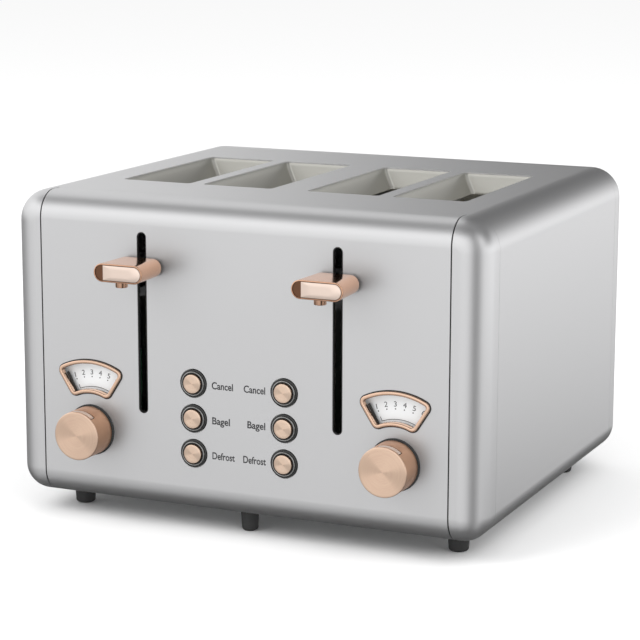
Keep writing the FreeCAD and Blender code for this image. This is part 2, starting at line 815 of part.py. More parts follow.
def make_handle(side, sign):
    """Lever handle, tapering towards the panel, with a recessed face and the plate set in it."""
    lever = f"{sign} * lever_x"
    body = new_body("HandleBlock", (lever, "front_y - handle_gap", "lever_z"))
    rise = ("-handle_height / 2", "handle_height / 2")
    back = rectangle(("-(handle_width - handle_taper) / 2", "(handle_width - handle_taper) / 2"), rise)
    front = rectangle(("-handle_width / 2", "handle_width / 2"), rise)
    near = draw_polygon(empty_sketch(body, "XZ_Plane", "HandleBack"), back)
    far = draw_polygon(empty_sketch(body, "XZ_Plane", "HandleFront"), front)
    bind(far, "AttachmentOffset.Base.z", "handle_reach - handle_gap")
    loft = body.newObject("PartDesign::AdditiveLoft", "HandleLoft")
    loft.Profile = near
    loft.Sections = [far]
    depth = number("handle_reach - handle_gap")
    blend(body, loft, "handle_round", lambda edge: edge.BoundBox.YLength > depth - 0.5)
    half = "handle_width / 2 - handle_rim"
    rise = ("lever_z - handle_height / 2 + handle_rim", "lever_z + handle_height / 2 - handle_rim")
    face = ("front_y - handle_reach", "front_y - handle_reach + handle_rim")
    recess = slit("HandleRecess", (f"{lever} - ({half})", f"{lever} + {half}"), face, rise, "x")
    hollowed = cut("HandleShell", body, [recess])
    stub_top = "lever_z - handle_height / 2 - stub_drop"
    stub = cylinder("HandleStub", "stub_radius", "stub_drop + handle_taper",
                    (lever, "front_y - handle_reach + stub_setback", stub_top))
    keep(merge("Handle", [hollowed, stub]), f"lever_handle_{side}")
    start = (f"{lever} - handle_width / 2 + inlay_start",
             f"{lever} + {half} - handle_height / 2 + handle_rim")
    flat = block("InlayPlate", start, face, (f"{rise[0]} + window_gap", f"{rise[1]} - window_gap"))
    tip = cylinder("InlayTip", "handle_height / 2 - handle_rim - window_gap", "handle_rim",
                   (start[1], face[0], "lever_z"), ALONG_Y)
    keep(merge("Inlay", [flat, tip]), f"lever_inlay_{side}")


def make_carriage(side, sign):
    """Carriage behind the panel: stem through the slot, cross bar and a boss on the guide rod."""
    lever = f"{sign} * lever_x"
    reach = "(slot_outer_x - slot_inner_x) / 2 + rack_bar"
    rise = ("lever_z - carriage_height / 2", "lever_z + carriage_height / 2")
    depth = ("carriage_y", "carriage_y + carriage_depth")
    middle = "(slot_outer_x + slot_inner_x) / 2"
    width = (f"{sign} * {middle} - ({reach})", f"{sign} * {middle} + {reach}")
    bar = block("CarriageBar", width, depth, rise)
    boss_half = "(guide_radius + 3)"
    boss = block("CarriageBoss", (f"{lever} - {boss_half}", f"{lever} + {boss_half}"), depth,
                 ("lever_z - carriage_boss / 2", "lever_z + carriage_boss / 2"))
    stem = block("CarriageStem", (f"{lever} - stem_width / 2", f"{lever} + stem_width / 2"),
                 ("front_y - handle_gap", "carriage_y"),
                 ("lever_z - stem_height / 2", "lever_z + stem_height / 2"))
    bore = cylinder("CarriageBore", "guide_radius + running_gap", "carriage_boss + 2",
                    (lever, "guide_y", "lever_z - carriage_boss / 2 - 1"))
    keep(cut("Carriage", merge("CarriageSolid", [bar, boss, stem]), [bore]), f"lever_carriage_{side}")


def make_racks(side, sign):
    """Bread racks, one per slot: a bar with cross fingers, and the neck that hangs it from the carriage."""
    start = "carriage_y + carriage_depth"
    first = f"slot_mid_y - (finger_count - 1) * finger_pitch / 2 - ({start}) - rack_neck"
    length = f"chassis_rear_y + chassis_thickness + 2 - ({start}) - rack_neck"
    for spot, centre in (("inner", "slot_inner_x"), ("outer", "slot_outer_x")):
        middle = f"{sign} * {centre}"
        rise = ("rack_z", "rack_z + rack_drop + carriage_height / 2")
        neck = block("RackNeck", (f"{middle} - rack_thickness / 2", f"{middle} + rack_thickness / 2"),
                     (start, f"{start} + rack_neck"), rise)
        body = new_body("Rack", (middle, f"{start} + rack_neck", "rack_z"))
        outline = empty_sketch(body, "YZ_Plane", "RackBar")
        draw_polygon(outline, rectangle(("0", length), ("0", "rack_bar")))
        pad(body, outline, "rack_thickness", both_ways=True)
        sketch = empty_sketch(body, "YZ_Plane", "Finger")
        draw_circle(sketch, first, "rack_bar - finger_radius", "finger_radius")
        finger = pad(body, sketch, "finger_span", both_ways=True)
        repeat(body, finger, sketch, "H_Axis", "(finger_count - 1) * finger_pitch", "finger_count")
        keep(gather("RackParts", [neck, body]), f"bread_rack_{side}_{spot}")


def make_trim(side, sign):
    """Black liner of a lever slot: a plate behind the panel with a raised rim in the cut-out."""
    lever = f"{sign} * lever_x"
    travel = ("low_z + lever_slot_low", "low_z + lever_slot_high")
    edge = "lever_slot_width / 2"
    rim = slit("TrimRim", (f"{lever} - {edge} + window_gap", f"{lever} + {edge} - window_gap"),
               ("front_y + 0.1", "inside_y"), (f"{travel[0]} + window_gap", f"{travel[1]} - window_gap"), "z")
    plate = block("TrimPlate", (f"{lever} - {edge} - trim_border", f"{lever} + {edge} + trim_border"),
                  ("inside_y", "inside_y + trim_thickness"),
                  (f"{travel[0]} - trim_border", f"{travel[1]} + trim_border"))
    opening = slit("TrimOpening", (f"{lever} - slit_width / 2", f"{lever} + slit_width / 2"),
                   ("front_y - 1", "inside_y + trim_thickness + 1"), ("slit_low", "slit_high"), "z")
    keep(cut("SlotTrim", merge("TrimSolid", [rim, plate]), [opening]), f"lever_slot_trim_{side}")


def make_spring(side, sign):
    """Return spring between the carriage and the shelf above it."""
    foot_z = "lever_z + carriage_height / 2 + spring_wire"
    height = "(shelf_z - chassis_thickness - spring_wire - lever_z - carriage_height / 2 - spring_wire)"
    helix = doc.addObject("Part::Helix", "SpringPath")
    bind(helix, "Radius", "spring_radius")
    bind(helix, "Height", height)
    bind(helix, "Pitch", f"{height} / spring_turns")
    circle = doc.addObject("Part::Circle", "SpringWire")
    bind(circle, "Radius", "spring_wire")
    place(circle, ("spring_radius", "0", "0"), OUTWARD)
    sweep = doc.addObject("Part::Sweep", "Spring")
    sweep.Sections = [circle]
    sweep.Spine = (helix, [])
    sweep.Solid = True
    sweep.Frenet = True
    place(sweep, (f"{sign} * (lever_x + spring_offset)", "guide_y", foot_z))
    keep(sweep, f"return_spring_{side}")


def make_magnet(side, sign):
    """Holding electromagnet on the base plate, below the carriage."""
    x = f"{sign} * (lever_x + magnet_offset)"
    low = cylinder("MagnetFoot", "magnet_radius + 2", "2", (x, "guide_y", "floor_z"))
    coil = cylinder("MagnetCoil", "magnet_radius", "magnet_height - 4", (x, "guide_y", "floor_z + 2"))
    core = cylinder("MagnetCore", "magnet_core", "magnet_height", (x, "guide_y", "floor_z"))
    keep(merge("Magnet", [low, coil, core]), f"electromagnet_{side}")


def make_levers():
    """Everything that belongs to the two levers."""
    rods = []
    for side, sign in SIDES:
        make_handle(side, sign)
        make_carriage(side, sign)
        make_racks(side, sign)
        make_trim(side, sign)
        make_spring(side, sign)
        make_magnet(side, sign)
        foot = (f"{sign} * lever_x", "guide_y", "floor_z")
        rods.append(cylinder("GuideRod", "guide_radius", "shelf_z - chassis_thickness - floor_z", foot))
    keep(gather("GuideRods", rods), "guide_rods")


# ---------------------------------------------------------------- gauges and knobs

def fan(name, x, grow, y, corner="gauge_corner"):
    """The gauge's outline as a plate, grown or shrunk evenly, with its corners rounded."""
    length = f"({y[1]}) - ({y[0]})"
    half = number("gauge_half_angle")
    outer = cylinder(name + "Outer", f"gauge_outer + {grow}", length, (x, y[1], "knob_height"), OUTWARD)
    inner = cylinder(name + "Inner", f"gauge_inner - ({grow})", length, (x, y[1], "knob_height"), OUTWARD)
    band = cut(name + "Band", outer, [inner])
    turn = OUTWARD.multiply(Rotation(Vector(0, 0, 1), 90 - half))
    apex = (x, y[1], f"knob_height - ({grow}) / sin(gauge_half_angle)")
    sector = cylinder(name + "Sector", "2 * gauge_outer", length, apex, turn)
    bind(sector, "Angle", "2 * gauge_half_angle")
    plate = overlap(name + "Plate", [band, sector])
    across = Vector(0, 1, 0)
    return round_edges(name, plate, corner, lambda edge: runs_along(edge, across))


def make_gauge(side, sign):
    """Bezel on the panel, dial cup behind it and the needle between them."""
    x = f"{sign} * knob_x"
    rim = fan("BezelRim", x, "0", ("front_y - gauge_proud", "front_y"))
    collar = fan("BezelCollar", x, "collar_wall - gauge_rim", ("front_y - 0.1", "front_y + collar_depth"),
                 "gauge_corner - gauge_rim + collar_wall")
    window = fan("BezelWindow", x, "0 - gauge_rim",
                 ("front_y - gauge_proud - 1", "front_y + collar_depth + 1"), "gauge_corner - gauge_rim + 0.2")
    keep(cut("Bezel", merge("BezelSolid", [rim, collar]), [window]), f"gauge_bezel_{side}")
    dial_y = "front_y + dial_setback"
    cup = fan("DialCup", x, "dial_margin", ("inside_y", f"{dial_y} + dial_thickness"))
    room = fan("DialRoom", x, "dial_margin - dial_wall", ("inside_y - 1", dial_y))
    sweep = cylinder("NeedleRoom", "gauge_inner + 0.5", "dial_setback - skin + 1",
                     (x, "inside_y - 1", "knob_height"), ALONG_Y)
    keep(cut("Dial", cup, [room, sweep]), f"gauge_dial_{side}")
    turn = OUTWARD.multiply(Rotation(Vector(0, 0, 1), -number("needle_rest")))
    body = new_body("Needle", (x, "front_y + needle_setback + needle_thickness", "knob_height"), turn)
    blade = [("-needle_width", "0"), ("needle_width", "0"), ("needle_width / 2", "needle_reach"),
             ("-needle_width / 2", "needle_reach")]
    pad(body, draw_polygon(empty_sketch(body, "XY_Plane", "Blade"), blade), "needle_thickness")
    hub = draw_circle(empty_sketch(body, "XY_Plane", "Hub"), "0", "0", "needle_hub")
    pad(body, hub, "needle_thickness")
    bore = draw_circle(empty_sketch(body, "XY_Plane", "HubBore"), "0", "0", "shaft_radius + hub_gap")
    pocket(body, bore, "2 * needle_thickness", reverse=True)
    keep(body, f"gauge_needle_{side}")


def make_knob(side, sign):
    """Browning knob with its shaft and a shallow pointer notch just behind the face."""
    outline = [("0", "-shaft_length"), ("shaft_radius", "-shaft_length"), ("shaft_radius", "knob_gap"),
               ("knob_radius", "knob_gap"), ("knob_radius", "knob_reach - knob_bevel"),
               ("knob_radius - knob_bevel", "knob_reach"), ("0", "knob_reach")]
    turn = OUTWARD.multiply(Rotation(Vector(0, 0, 1), -number("knob_turn")))
    body, spin = turned("Knob", outline, (f"{sign} * knob_x", "front_y", "knob_height"), turn)
    notch = rectangle(("knob_radius - notch_depth", "knob_radius + 1"),
                      ("knob_reach - notch_setback - notch_length", "knob_reach - notch_setback"))
    sketch = draw_polygon(empty_sketch(body, "YZ_Plane", "Notch"), notch)
    doc.recompute()
    before = body.Shape.Volume
    groove = body.newObject("PartDesign::Groove", "NotchGroove")
    groove.Profile = sketch
    groove.ReferenceAxis = (sketch, ["V_Axis"])
    groove.Midplane = True
    bind(groove, "Angle", "notch_angle")
    doc.recompute()
    if groove.Shape.Volume >= before:
        raise ValueError("the pointer notch cuts nothing")
    keep(body, f"browning_knob_{side}")


def make_board(side, sign):
    """Control board with the browning potentiometer and one switch behind each button."""
    edges = [("board_outer_x", "board_low"), ("board_outer_x", "board_high"),
             ("lever_x + board_notch", "board_high"),
             ("lever_x + board_notch", "board_notch_low"), ("lever_x - board_notch", "board_notch_low"),
             ("lever_x - board_notch", "board_high"), ("board_inner_x", "board_high"),
             ("board_inner_x", "board_low")]
    body = new_body("Board", ("0", "board_y + board_thickness", "low_z"))
    corners = [(f"{sign} * ({x})", z) for x, z in edges]
    pad(body, draw_polygon(empty_sketch(body, "XZ_Plane", "BoardOutline"), corners), "board_thickness")
    x = f"{sign} * knob_x"
    pot = cylinder("Pot", "pot_radius", "pot_height", (x, "board_y - pot_height", "knob_height"), ALONG_Y)
    switches = []
    front = ("front_y + button_length + button_travel + switch_gap", "board_y")
    for row in range(3):
        middle = (f"{sign} * button_x", f"low_z + button_low + {row} * button_pitch")
        width = (f"{middle[0]} - switch_size / 2", f"{middle[0]} + switch_size / 2")
        rise = (f"{middle[1]} - switch_size / 2", f"{middle[1]} + switch_size / 2")
        switches.append(block("Switch", width, front, rise))
    solid = merge("BoardSolid", [body, pot] + switches)
    bore = cylinder("PotBore", "shaft_radius + running_gap", "pot_height + board_thickness + 1",
                    (x, "board_y - pot_height - 1", "knob_height"), ALONG_Y)
    keep(cut("ControlBoard", solid, [bore]), f"control_board_{side}")


def make_dials():
    """Gauges, knobs, the black washers behind them and the boards."""
    washers = []
    for side, sign in SIDES:
        make_gauge(side, sign)
        make_knob(side, sign)
        make_board(side, sign)
        outline = [("shaft_hole", "0"), ("washer_radius", "0"), ("washer_radius", "washer_thickness"),
                   ("shaft_hole", "washer_thickness")]
        body, spin = turned("Washer", outline, (f"{sign} * knob_x", "front_y", "knob_height"), OUTWARD)
        washers.append(body)
    keep(gather("Washers", washers), "knob_washers")


# ---------------------------------------------------------------- push buttons

def make_buttons():
    """Six push buttons and the bright rings that they sit in."""
    rings = []
    cap_outline = [("0", "-button_length"), ("button_stem", "-button_length"), ("button_stem", "-button_body"),
                   ("button_radius", "-button_body"), ("button_radius", "button_proud - 0.3"),
                   ("button_radius - 0.3", "button_proud"), ("0", "button_proud")]
    flange_back = "-(skin + ring_flange_thickness)"
    ring_outline = [("ring_bore", flange_back), ("ring_flange", flange_back), ("ring_flange", "-skin"),
                    ("ring_radius", "-skin"), ("ring_radius", "ring_proud"), ("ring_bore", "ring_proud")]
    for side, sign in SIDES:
        for row, job in enumerate(("defrost", "bagel", "cancel")):
            spot = (f"{sign} * button_x", "front_y", f"low_z + button_low + {row} * button_pitch")
            cap, _ = turned("Button", cap_outline, spot, OUTWARD)
            keep(cap, f"button_{job}_{side}")
            ring, _ = turned("Ring", ring_outline, spot, OUTWARD)
            rings.append(ring)
    keep(gather("Rings", rings), "button_rings")


# ---------------------------------------------------------------- trays and gland

def make_trays():
    """Two shallow crumb trays with a lip and a pull at the back."""
    for side, sign in SIDES:
        body = new_body("Tray", (f"{sign} * tray_x", "0", "tray_z"))
        depth = ("front_y + tray_front", "rear_y")
        outline = rectangle(("-tray_width / 2", "tray_width / 2"), depth)
        plan = draw_polygon(empty_sketch(body, "XY_Plane", "TrayOutline"), outline)
        solid = pad(body, plan, "tray_height")
        top = number("tray_height")
        hollow(body, solid, "tray_wall", lambda face: face.BoundBox.ZMin > top - 0.01)
        middle = f"{sign} * tray_x"
        lip = block("TrayLip", (f"{middle} - tray_width / 2 - 2", f"{middle} + tray_width / 2 + 2"),
                    ("rear_y", "rear_y + lip_thickness"), ("tray_z - 1", "tray_z + lip_height"))
        pull = block("TrayPull", (f"{middle} - pull_width / 2", f"{middle} + pull_width / 2"),
                     ("rear_y", "rear_y + rear_reach"),
                     ("tray_z + lip_height / 2 - pull_height / 2", "tray_z + lip_height / 2 + pull_height / 2"))
        keep(merge("CrumbTray", [body, lip, pull]), f"crumb_tray_{side}")


def make_gland():
    """Cord gland: a bush with a flange outside the rear panel and a bore for the lead."""
    inner_end = "-(gland_length - gland_proud)"
    outline = [("gland_bore", inner_end), ("gland_hole - 0.1", inner_end), ("gland_hole - 0.1", "0"),
               ("gland_flange", "0"), ("gland_flange - 1", "gland_proud"), ("gland_bore", "gland_proud")]
    body, spin = turned("Gland", outline, ("0", "rear_y", "low_z + gland_z"), ALONG_Y)
    keep(body, "cord_gland")


# ---------------------------------------------------------------- checks and files

def check_and_write():
    """Refuse a broken model, then write one STEP file per sub-part."""
    doc.recompute()
    broken = [item.Label for item in doc.Objects if {"Invalid", "Error"} & set(item.State)]
    if broken:
        raise RuntimeError("failed objects: " + ", ".join(broken))
    for item in nodes:
        if item.Shape.isNull() or not item.Shape.isValid() or item.Shape.Volume <= 0:
            raise RuntimeError("bad shape: " + item.Label)
    os.makedirs("parts", exist_ok=True)
    for item in nodes:
        item.Shape.exportStep(f"parts/{item.Label}.step")
    print(len(nodes), "sub-parts")


fill_sheet()
make_front()
make_rear()
make_wrap()
make_base()
make_screws()
make_feet()
make_chassis()
make_throats()
make_heaters()
make_guards()
make_levers()
make_dials()
make_buttons()
make_trays()
make_gland()
check_and_write()
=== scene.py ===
"""Looks of the four-slice pop up toaster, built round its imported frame.

A brushed steel case of front pan, wrap and rear pan, rose gold levers, knobs, push buttons and gauge
rims, and the works inside. Everything is in metres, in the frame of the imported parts.
"""

import logging
import math
from dataclasses import dataclass, field
from enum import Enum
from typing import Callable, Sequence

import bmesh
import bpy
import numpy as np
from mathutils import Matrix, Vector
from mathutils.geometry import delaunay_2d_cdt

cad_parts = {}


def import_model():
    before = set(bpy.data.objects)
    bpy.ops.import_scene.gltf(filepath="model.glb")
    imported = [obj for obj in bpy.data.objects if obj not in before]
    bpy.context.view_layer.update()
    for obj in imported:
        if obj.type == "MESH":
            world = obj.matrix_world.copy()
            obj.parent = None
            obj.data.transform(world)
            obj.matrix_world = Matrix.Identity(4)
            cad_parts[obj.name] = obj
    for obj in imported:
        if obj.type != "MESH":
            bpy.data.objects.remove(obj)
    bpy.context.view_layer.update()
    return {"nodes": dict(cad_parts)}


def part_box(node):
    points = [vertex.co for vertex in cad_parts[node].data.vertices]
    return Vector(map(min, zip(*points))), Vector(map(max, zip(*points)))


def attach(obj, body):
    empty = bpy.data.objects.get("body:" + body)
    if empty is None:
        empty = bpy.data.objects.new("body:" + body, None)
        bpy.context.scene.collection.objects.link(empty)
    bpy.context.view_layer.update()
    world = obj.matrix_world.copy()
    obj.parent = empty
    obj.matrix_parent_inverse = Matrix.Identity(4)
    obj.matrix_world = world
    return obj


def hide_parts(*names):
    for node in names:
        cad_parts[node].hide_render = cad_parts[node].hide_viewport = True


LOG = logging.getLogger("toaster")
MM = 0.001
ROUND_STEPS = 14
UV_NAME = "UVMap"
# Height of a capital of the built-in font at size 1.
CAPITAL = 0.729
Array = np.ndarray
Colour = tuple[float, float, float]


class Side(Enum):
    """The two halves of the toaster, as seen from the front."""

    LEFT = "left"
    RIGHT = "right"

    @property
    def sign(self) -> float:
        """-1 for the left half and 1 for the right half."""
        return -1.0 if self is Side.LEFT else 1.0


class Job(Enum):
    """What each push button does, from the top one down."""

    CANCEL = "cancel"
    BAGEL = "bagel"
    DEFROST = "defrost"


class Slot(Enum):
    """The two bread slots of one half."""

    INNER = "inner"
    OUTER = "outer"


# ---------------------------------------------------------------- surfaces


@dataclass
class Surface:
    """Points with their outward normals, faces, and one UV pair for each face corner.

    The first UV number runs with the grain of the metal and the second across it, both in metres.
    """

    points: Array
    normals: Array
    faces: list[Array]
    uvs: list[Array]

    def __add__(self, other: "Surface") -> "Surface":
        """Both surfaces as one."""
        start = len(self.points)
        return Surface(
            np.concatenate([self.points, other.points]),
            np.concatenate([self.normals, other.normals]),
            self.faces + [f + start for f in other.faces],
            self.uvs + other.uvs,
        )


def joined(surfaces: Sequence[Surface]) -> Surface:
    """All the surfaces as one."""
    total = surfaces[0]
    for extra in surfaces[1:]:
        total = total + extra
    return total


def grid(points: Array, uv: Array, normals: Array | None = None, around: bool = False) -> Surface:
    """Four-sided faces between the neighbours of a grid of points.

    Args:
        points: (rows, columns, 3) places.
        uv: (rows, columns, 2) pattern coordinates, with one more column if the grid closes.
        normals: (rows, columns, 3) outward directions, or None where they aren't needed.
        around: True if the last column joins the first.

    Returns:
        The surface.
    """
    rows, columns = points.shape[:2]
    i, j = np.meshgrid(np.arange(rows - 1), np.arange(columns if around else columns - 1), indexing="ij")
    corners = ((i, j), (i, j + 1), (i + 1, j + 1), (i + 1, j))
    faces = np.stack([a * columns + b % columns for a, b in corners], -1).reshape(-1, 4)
    spread = np.stack([uv[a, b] for a, b in corners], -2).reshape(-1, 4, 2)
    flat = np.zeros(points.shape) if normals is None else normals
    return Surface(points.reshape(-1, 3), flat.reshape(-1, 3), [faces], [spread])


def lengths(points: Array, closed: bool = False) -> Array:
    """Distance run along a line of points from its first one, and back to the first if it is closed."""
    line = np.concatenate([points, points[:1]]) if closed else points
    return np.concatenate([[0.0], np.cumsum(np.linalg.norm(np.diff(line, axis=0), axis=1))])


def arc(centre: Sequence[float], radius: float, start: float, end: float, steps: int) -> Array:
    """Points on a circle's arc in a plane, from one angle to another in degrees."""
    t = np.radians(np.linspace(start, end, steps))
    return np.stack([centre[0] + radius * np.cos(t), centre[1] + radius * np.sin(t)], -1)


def polar(reach: float, turn: float) -> tuple[float, float]:
    """The point at a distance from the origin and a clockwise turn in degrees from straight up."""
    return reach * math.sin(math.radians(turn)), reach * math.cos(math.radians(turn))


def lathe(profile: Array, centre: Sequence[float], steps: int = 96, upright: bool = False,
          shape: Callable[[Array, Array, Array], Array] | None = None) -> Surface:
    """A profile turned round an axis.

    The point at profile (r, s) and turn t is r sin t across, s along the axis and r cos t up. The axis
    runs back into the toaster along Y, or up along Z.

    Args:
        profile: (n, 2) pairs of distance from the axis and way along it.
        centre: where the axis starts.
        steps: how many columns go round.
        upright: True for an axis along Z.
        shape: takes distances, ways and turns, and gives changed distances, or None.

    Returns:
        The surface, with its grain round the axis.
    """
    t = np.linspace(0, 2 * np.pi, steps, endpoint=False)[None, :]
    r, s = profile[:, :1] + 0 * t, profile[:, 1:] + 0 * t
    if shape is not None:
        r = shape(r, s, t + 0 * s)
    across, up = r * np.sin(t), r * np.cos(t)
    parts = (across, up, s) if upright else (across, s, up)
    points = np.stack(parts, -1) + np.asarray(centre)
    reach = float(profile[:, 0].max())
    u = np.linspace(0, 2 * np.pi * reach, steps + 1)[None, :] + np.zeros((len(profile), 1))
    v = lengths(profile)[:, None] + 0 * u
    return grid(points, np.stack([u, v], -1), around=True)


def loft(loops: Array) -> Surface:
    """Faces between closed loops of equally many points, (rows, n, 3), with the grain round the loops."""
    widest = max(range(len(loops)), key=lambda k: lengths(loops[k], True)[-1])
    u = lengths(loops[widest], True)[None, :] + np.zeros((len(loops), 1))
    v = lengths(loops[:, 0])[:, None] + 0 * u
    return grid(loops, np.stack([u, v], -1), around=True)


def rounded_loop(width: float, height: float, radii: Sequence[float], steps: int) -> tuple[Array, Array]:
    """Outline of a rectangle with round corners, about the origin.

    Args:
        width: size across.
        height: size up.
        radii: corner radii at upper right, upper left, lower left and lower right.
        steps: points on each corner.

    Returns:
        The points and their outward normals, both (4 * steps, 2).
    """
    points, normals = [], []
    for k, radius in enumerate(radii):
        sx, sy = ((1, 1), (-1, 1), (-1, -1), (1, -1))[k]
        centre = (sx * (width / 2 - radius), sy * (height / 2 - radius))
        points.append(arc(centre, radius, 90 * k, 90 * k + 90, steps))
        normals.append(arc((0, 0), 1.0, 90 * k, 90 * k + 90, steps))
    return np.concatenate(points), np.concatenate(normals)


def slit(x: float, y: float, width: float, height: float, steps: int = 10) -> Array:
    """Outline of an opening with round ends, about a centre."""
    radius = min(width, height) / 2
    return rounded_loop(width, height, [radius * 0.999] * 4, steps)[0] + (x, y)


def lifted(flat: Array, axes: tuple[int, int], level: float) -> Array:
    """Plane points put into space on two axes, at one level on the third."""
    out = np.full((len(flat), 3), level)
    out[:, axes[0]], out[:, axes[1]] = flat[:, 0], flat[:, 1]
    return out


def within(spots: Array, lines: Sequence[Array]) -> Array:
    """Whether each spot is inside the first line and outside the rest.

    A spot is inside when a level ray to its right crosses the lines an odd number of times.

    Args:
        spots: (n, 2) places.
        lines: closed lines.

    Returns:
        (n,) true or false.
    """
    odd = np.zeros(len(spots), bool)
    for line in lines:
        for (x0, y0), (x1, y1) in zip(line, np.roll(line, -1, 0)):
            spans = (y0 > spots[:, 1]) != (y1 > spots[:, 1])
            rise = y1 - y0 if y1 != y0 else 1.0
            odd ^= spans & (spots[:, 0] < x0 + (spots[:, 1] - y0) * (x1 - x0) / rise)
    return odd


def fill(outline: Array, holes: Sequence[Array], axes: tuple[int, int], level: float,
         normal: Sequence[float], grain: int) -> Surface:
    """Flat sheet inside a closed outline and round the openings in it.

    Args:
        outline: (n, 2) closed outer line.
        holes: closed lines of the openings.
        axes: which two axes of space the plane's numbers stand for.
        level: where the sheet lies on the third axis.
        normal: outward direction.
        grain: the axis of space that the grain runs along.

    Returns:
        The surface.
    """
    lines = [outline, *holes]
    starts = np.cumsum([0] + [len(line) for line in lines])
    edges = [
        (int(a + k), int(a + (k + 1) % len(line))) for a, line in zip(starts, lines) for k in range(len(line))
    ]
    flat = np.concatenate(lines) / MM
    found = delaunay_2d_cdt([Vector(p) for p in flat], edges, [], 1, 1e-5)
    spots = np.array([tuple(p) for p in found[0]]) * MM
    faces = np.array([list(f) for f in found[2]], dtype=int)
    faces = faces[within(spots[faces].mean(1), lines)]
    points = lifted(spots, axes, level)
    other = axes[1] if grain == axes[0] else axes[0]
    uv = points[:, [grain, other]][faces]
    return Surface(points, np.tile(np.asarray(normal, float), (len(points), 1)), [faces], [uv])


def welded(surface: Surface) -> Surface:
    """The surface with its doubled points made one and every face turned to its normals."""
    keys = np.round(surface.points / (0.002 * MM)).astype(np.int64)
    _, first, index = np.unique(keys, axis=0, return_index=True, return_inverse=True)
    index = index.reshape(-1)
    points, normals = surface.points[first], surface.normals[first]
    faces, uvs = [], []
    for face, uv in zip(surface.faces, surface.uvs):
        face = index[face]
        turn = np.cross(points[face[:, 1]] - points[face[:, 0]], points[face[:, 2]] - points[face[:, 0]])
        away = np.sum(turn * normals[face].mean(1), 1) < 0
        faces.append(np.where(away[:, None], face[:, ::-1], face))
        uvs.append(np.where(away[:, None, None], uv[:, ::-1], uv))
    return Surface(points, normals, faces, uvs)


def thickened(surface: Surface, wall: float) -> Surface:
    """A sheet given its thickness.

    The inner skin is each point moved back by the wall along its normal, and every edge that only one
    face has gets a rim face between the two skins.

    Args:
        surface: an open surface with normals.
        wall: the thickness.

    Returns:
        The closed shell.
    """
    outer = welded(surface)
    count = len(outer.points)
    at = np.zeros((count, 2))
    heads, tails = [], []
    for face, uv in zip(outer.faces, outer.uvs):
        at[face.reshape(-1)] = uv.reshape(-1, 2)
        heads.append(face.reshape(-1))
        tails.append(np.roll(face, -1, axis=1).reshape(-1))
    head, tail = np.concatenate(heads), np.concatenate(tails)
    keep = head != tail
    head, tail = head[keep], tail[keep]
    lone = ~np.isin(head * count + tail, tail * count + head)
    head, tail = head[lone], tail[lone]
    rim = np.stack([tail, head, head + count, tail + count], -1)
    rim_uv = np.stack([at[tail], at[head], at[head], at[tail]], 1)
    return Surface(
        np.concatenate([outer.points, outer.points - wall * outer.normals]),
        np.concatenate([outer.normals, -outer.normals]),
        outer.faces + [f[:, ::-1] + count for f in outer.faces] + [rim],
        outer.uvs + [uv[:, ::-1] for uv in outer.uvs] + [rim_uv],
    )


def make_piece(name: str, surface: Surface, finish: "Finish", body: str, replaces: Sequence[str] = (),
               sharp: float = 38.0) -> bpy.types.Object:
    """A finished piece of the toaster, in place and riding on its body.

    Args:
        name: the piece's name.
        surface: its shape.
        finish: what it is made of.
        body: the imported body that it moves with.
        replaces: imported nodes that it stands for.
        sharp: edges that turn more than this many degrees stay crisp.

    Returns:
        The object.
    """
    mesh = bpy.data.meshes.new(name)
    sizes = np.concatenate([np.full(len(f), f.shape[1]) for f in surface.faces])
    corners = np.concatenate([f.reshape(-1) for f in surface.faces])
    mesh.vertices.add(len(surface.points))
    mesh.vertices.foreach_set("co", surface.points.astype(np.float32).reshape(-1))
    mesh.loops.add(len(corners))
    mesh.loops.foreach_set("vertex_index", corners.astype(np.int32))
    mesh.polygons.add(len(sizes))
    mesh.polygons.foreach_set("loop_start", (np.cumsum(sizes) - sizes).astype(np.int32))
    mesh.update(calc_edges=True)
    layer = mesh.uv_layers.new(name=UV_NAME)
    layer.data.foreach_set("uv", np.concatenate([u.reshape(-1) for u in surface.uvs]).astype(np.float32))
    work = bmesh.new()
    work.from_mesh(mesh)
    bmesh.ops.remove_doubles(work, verts=work.verts, dist=0.003 * MM)
    bmesh.ops.dissolve_degenerate(work, edges=work.edges, dist=0.002 * MM)
    bmesh.ops.recalc_face_normals(work, faces=work.faces)
    work.to_mesh(mesh)
    work.free()
    mesh.polygons.foreach_set("use_smooth", np.ones(len(mesh.polygons), bool))
    mesh.set_sharp_from_angle(angle=math.radians(sharp))
    mesh.materials.append(finish.material())
    piece = bpy.data.objects.new(name, mesh)
    bpy.context.scene.collection.objects.link(piece)
    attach(piece, body)
    if replaces:
        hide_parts(*replaces)
    LOG.info("%s: %d faces, rides on %s", name, len(mesh.polygons), body)
    return piece


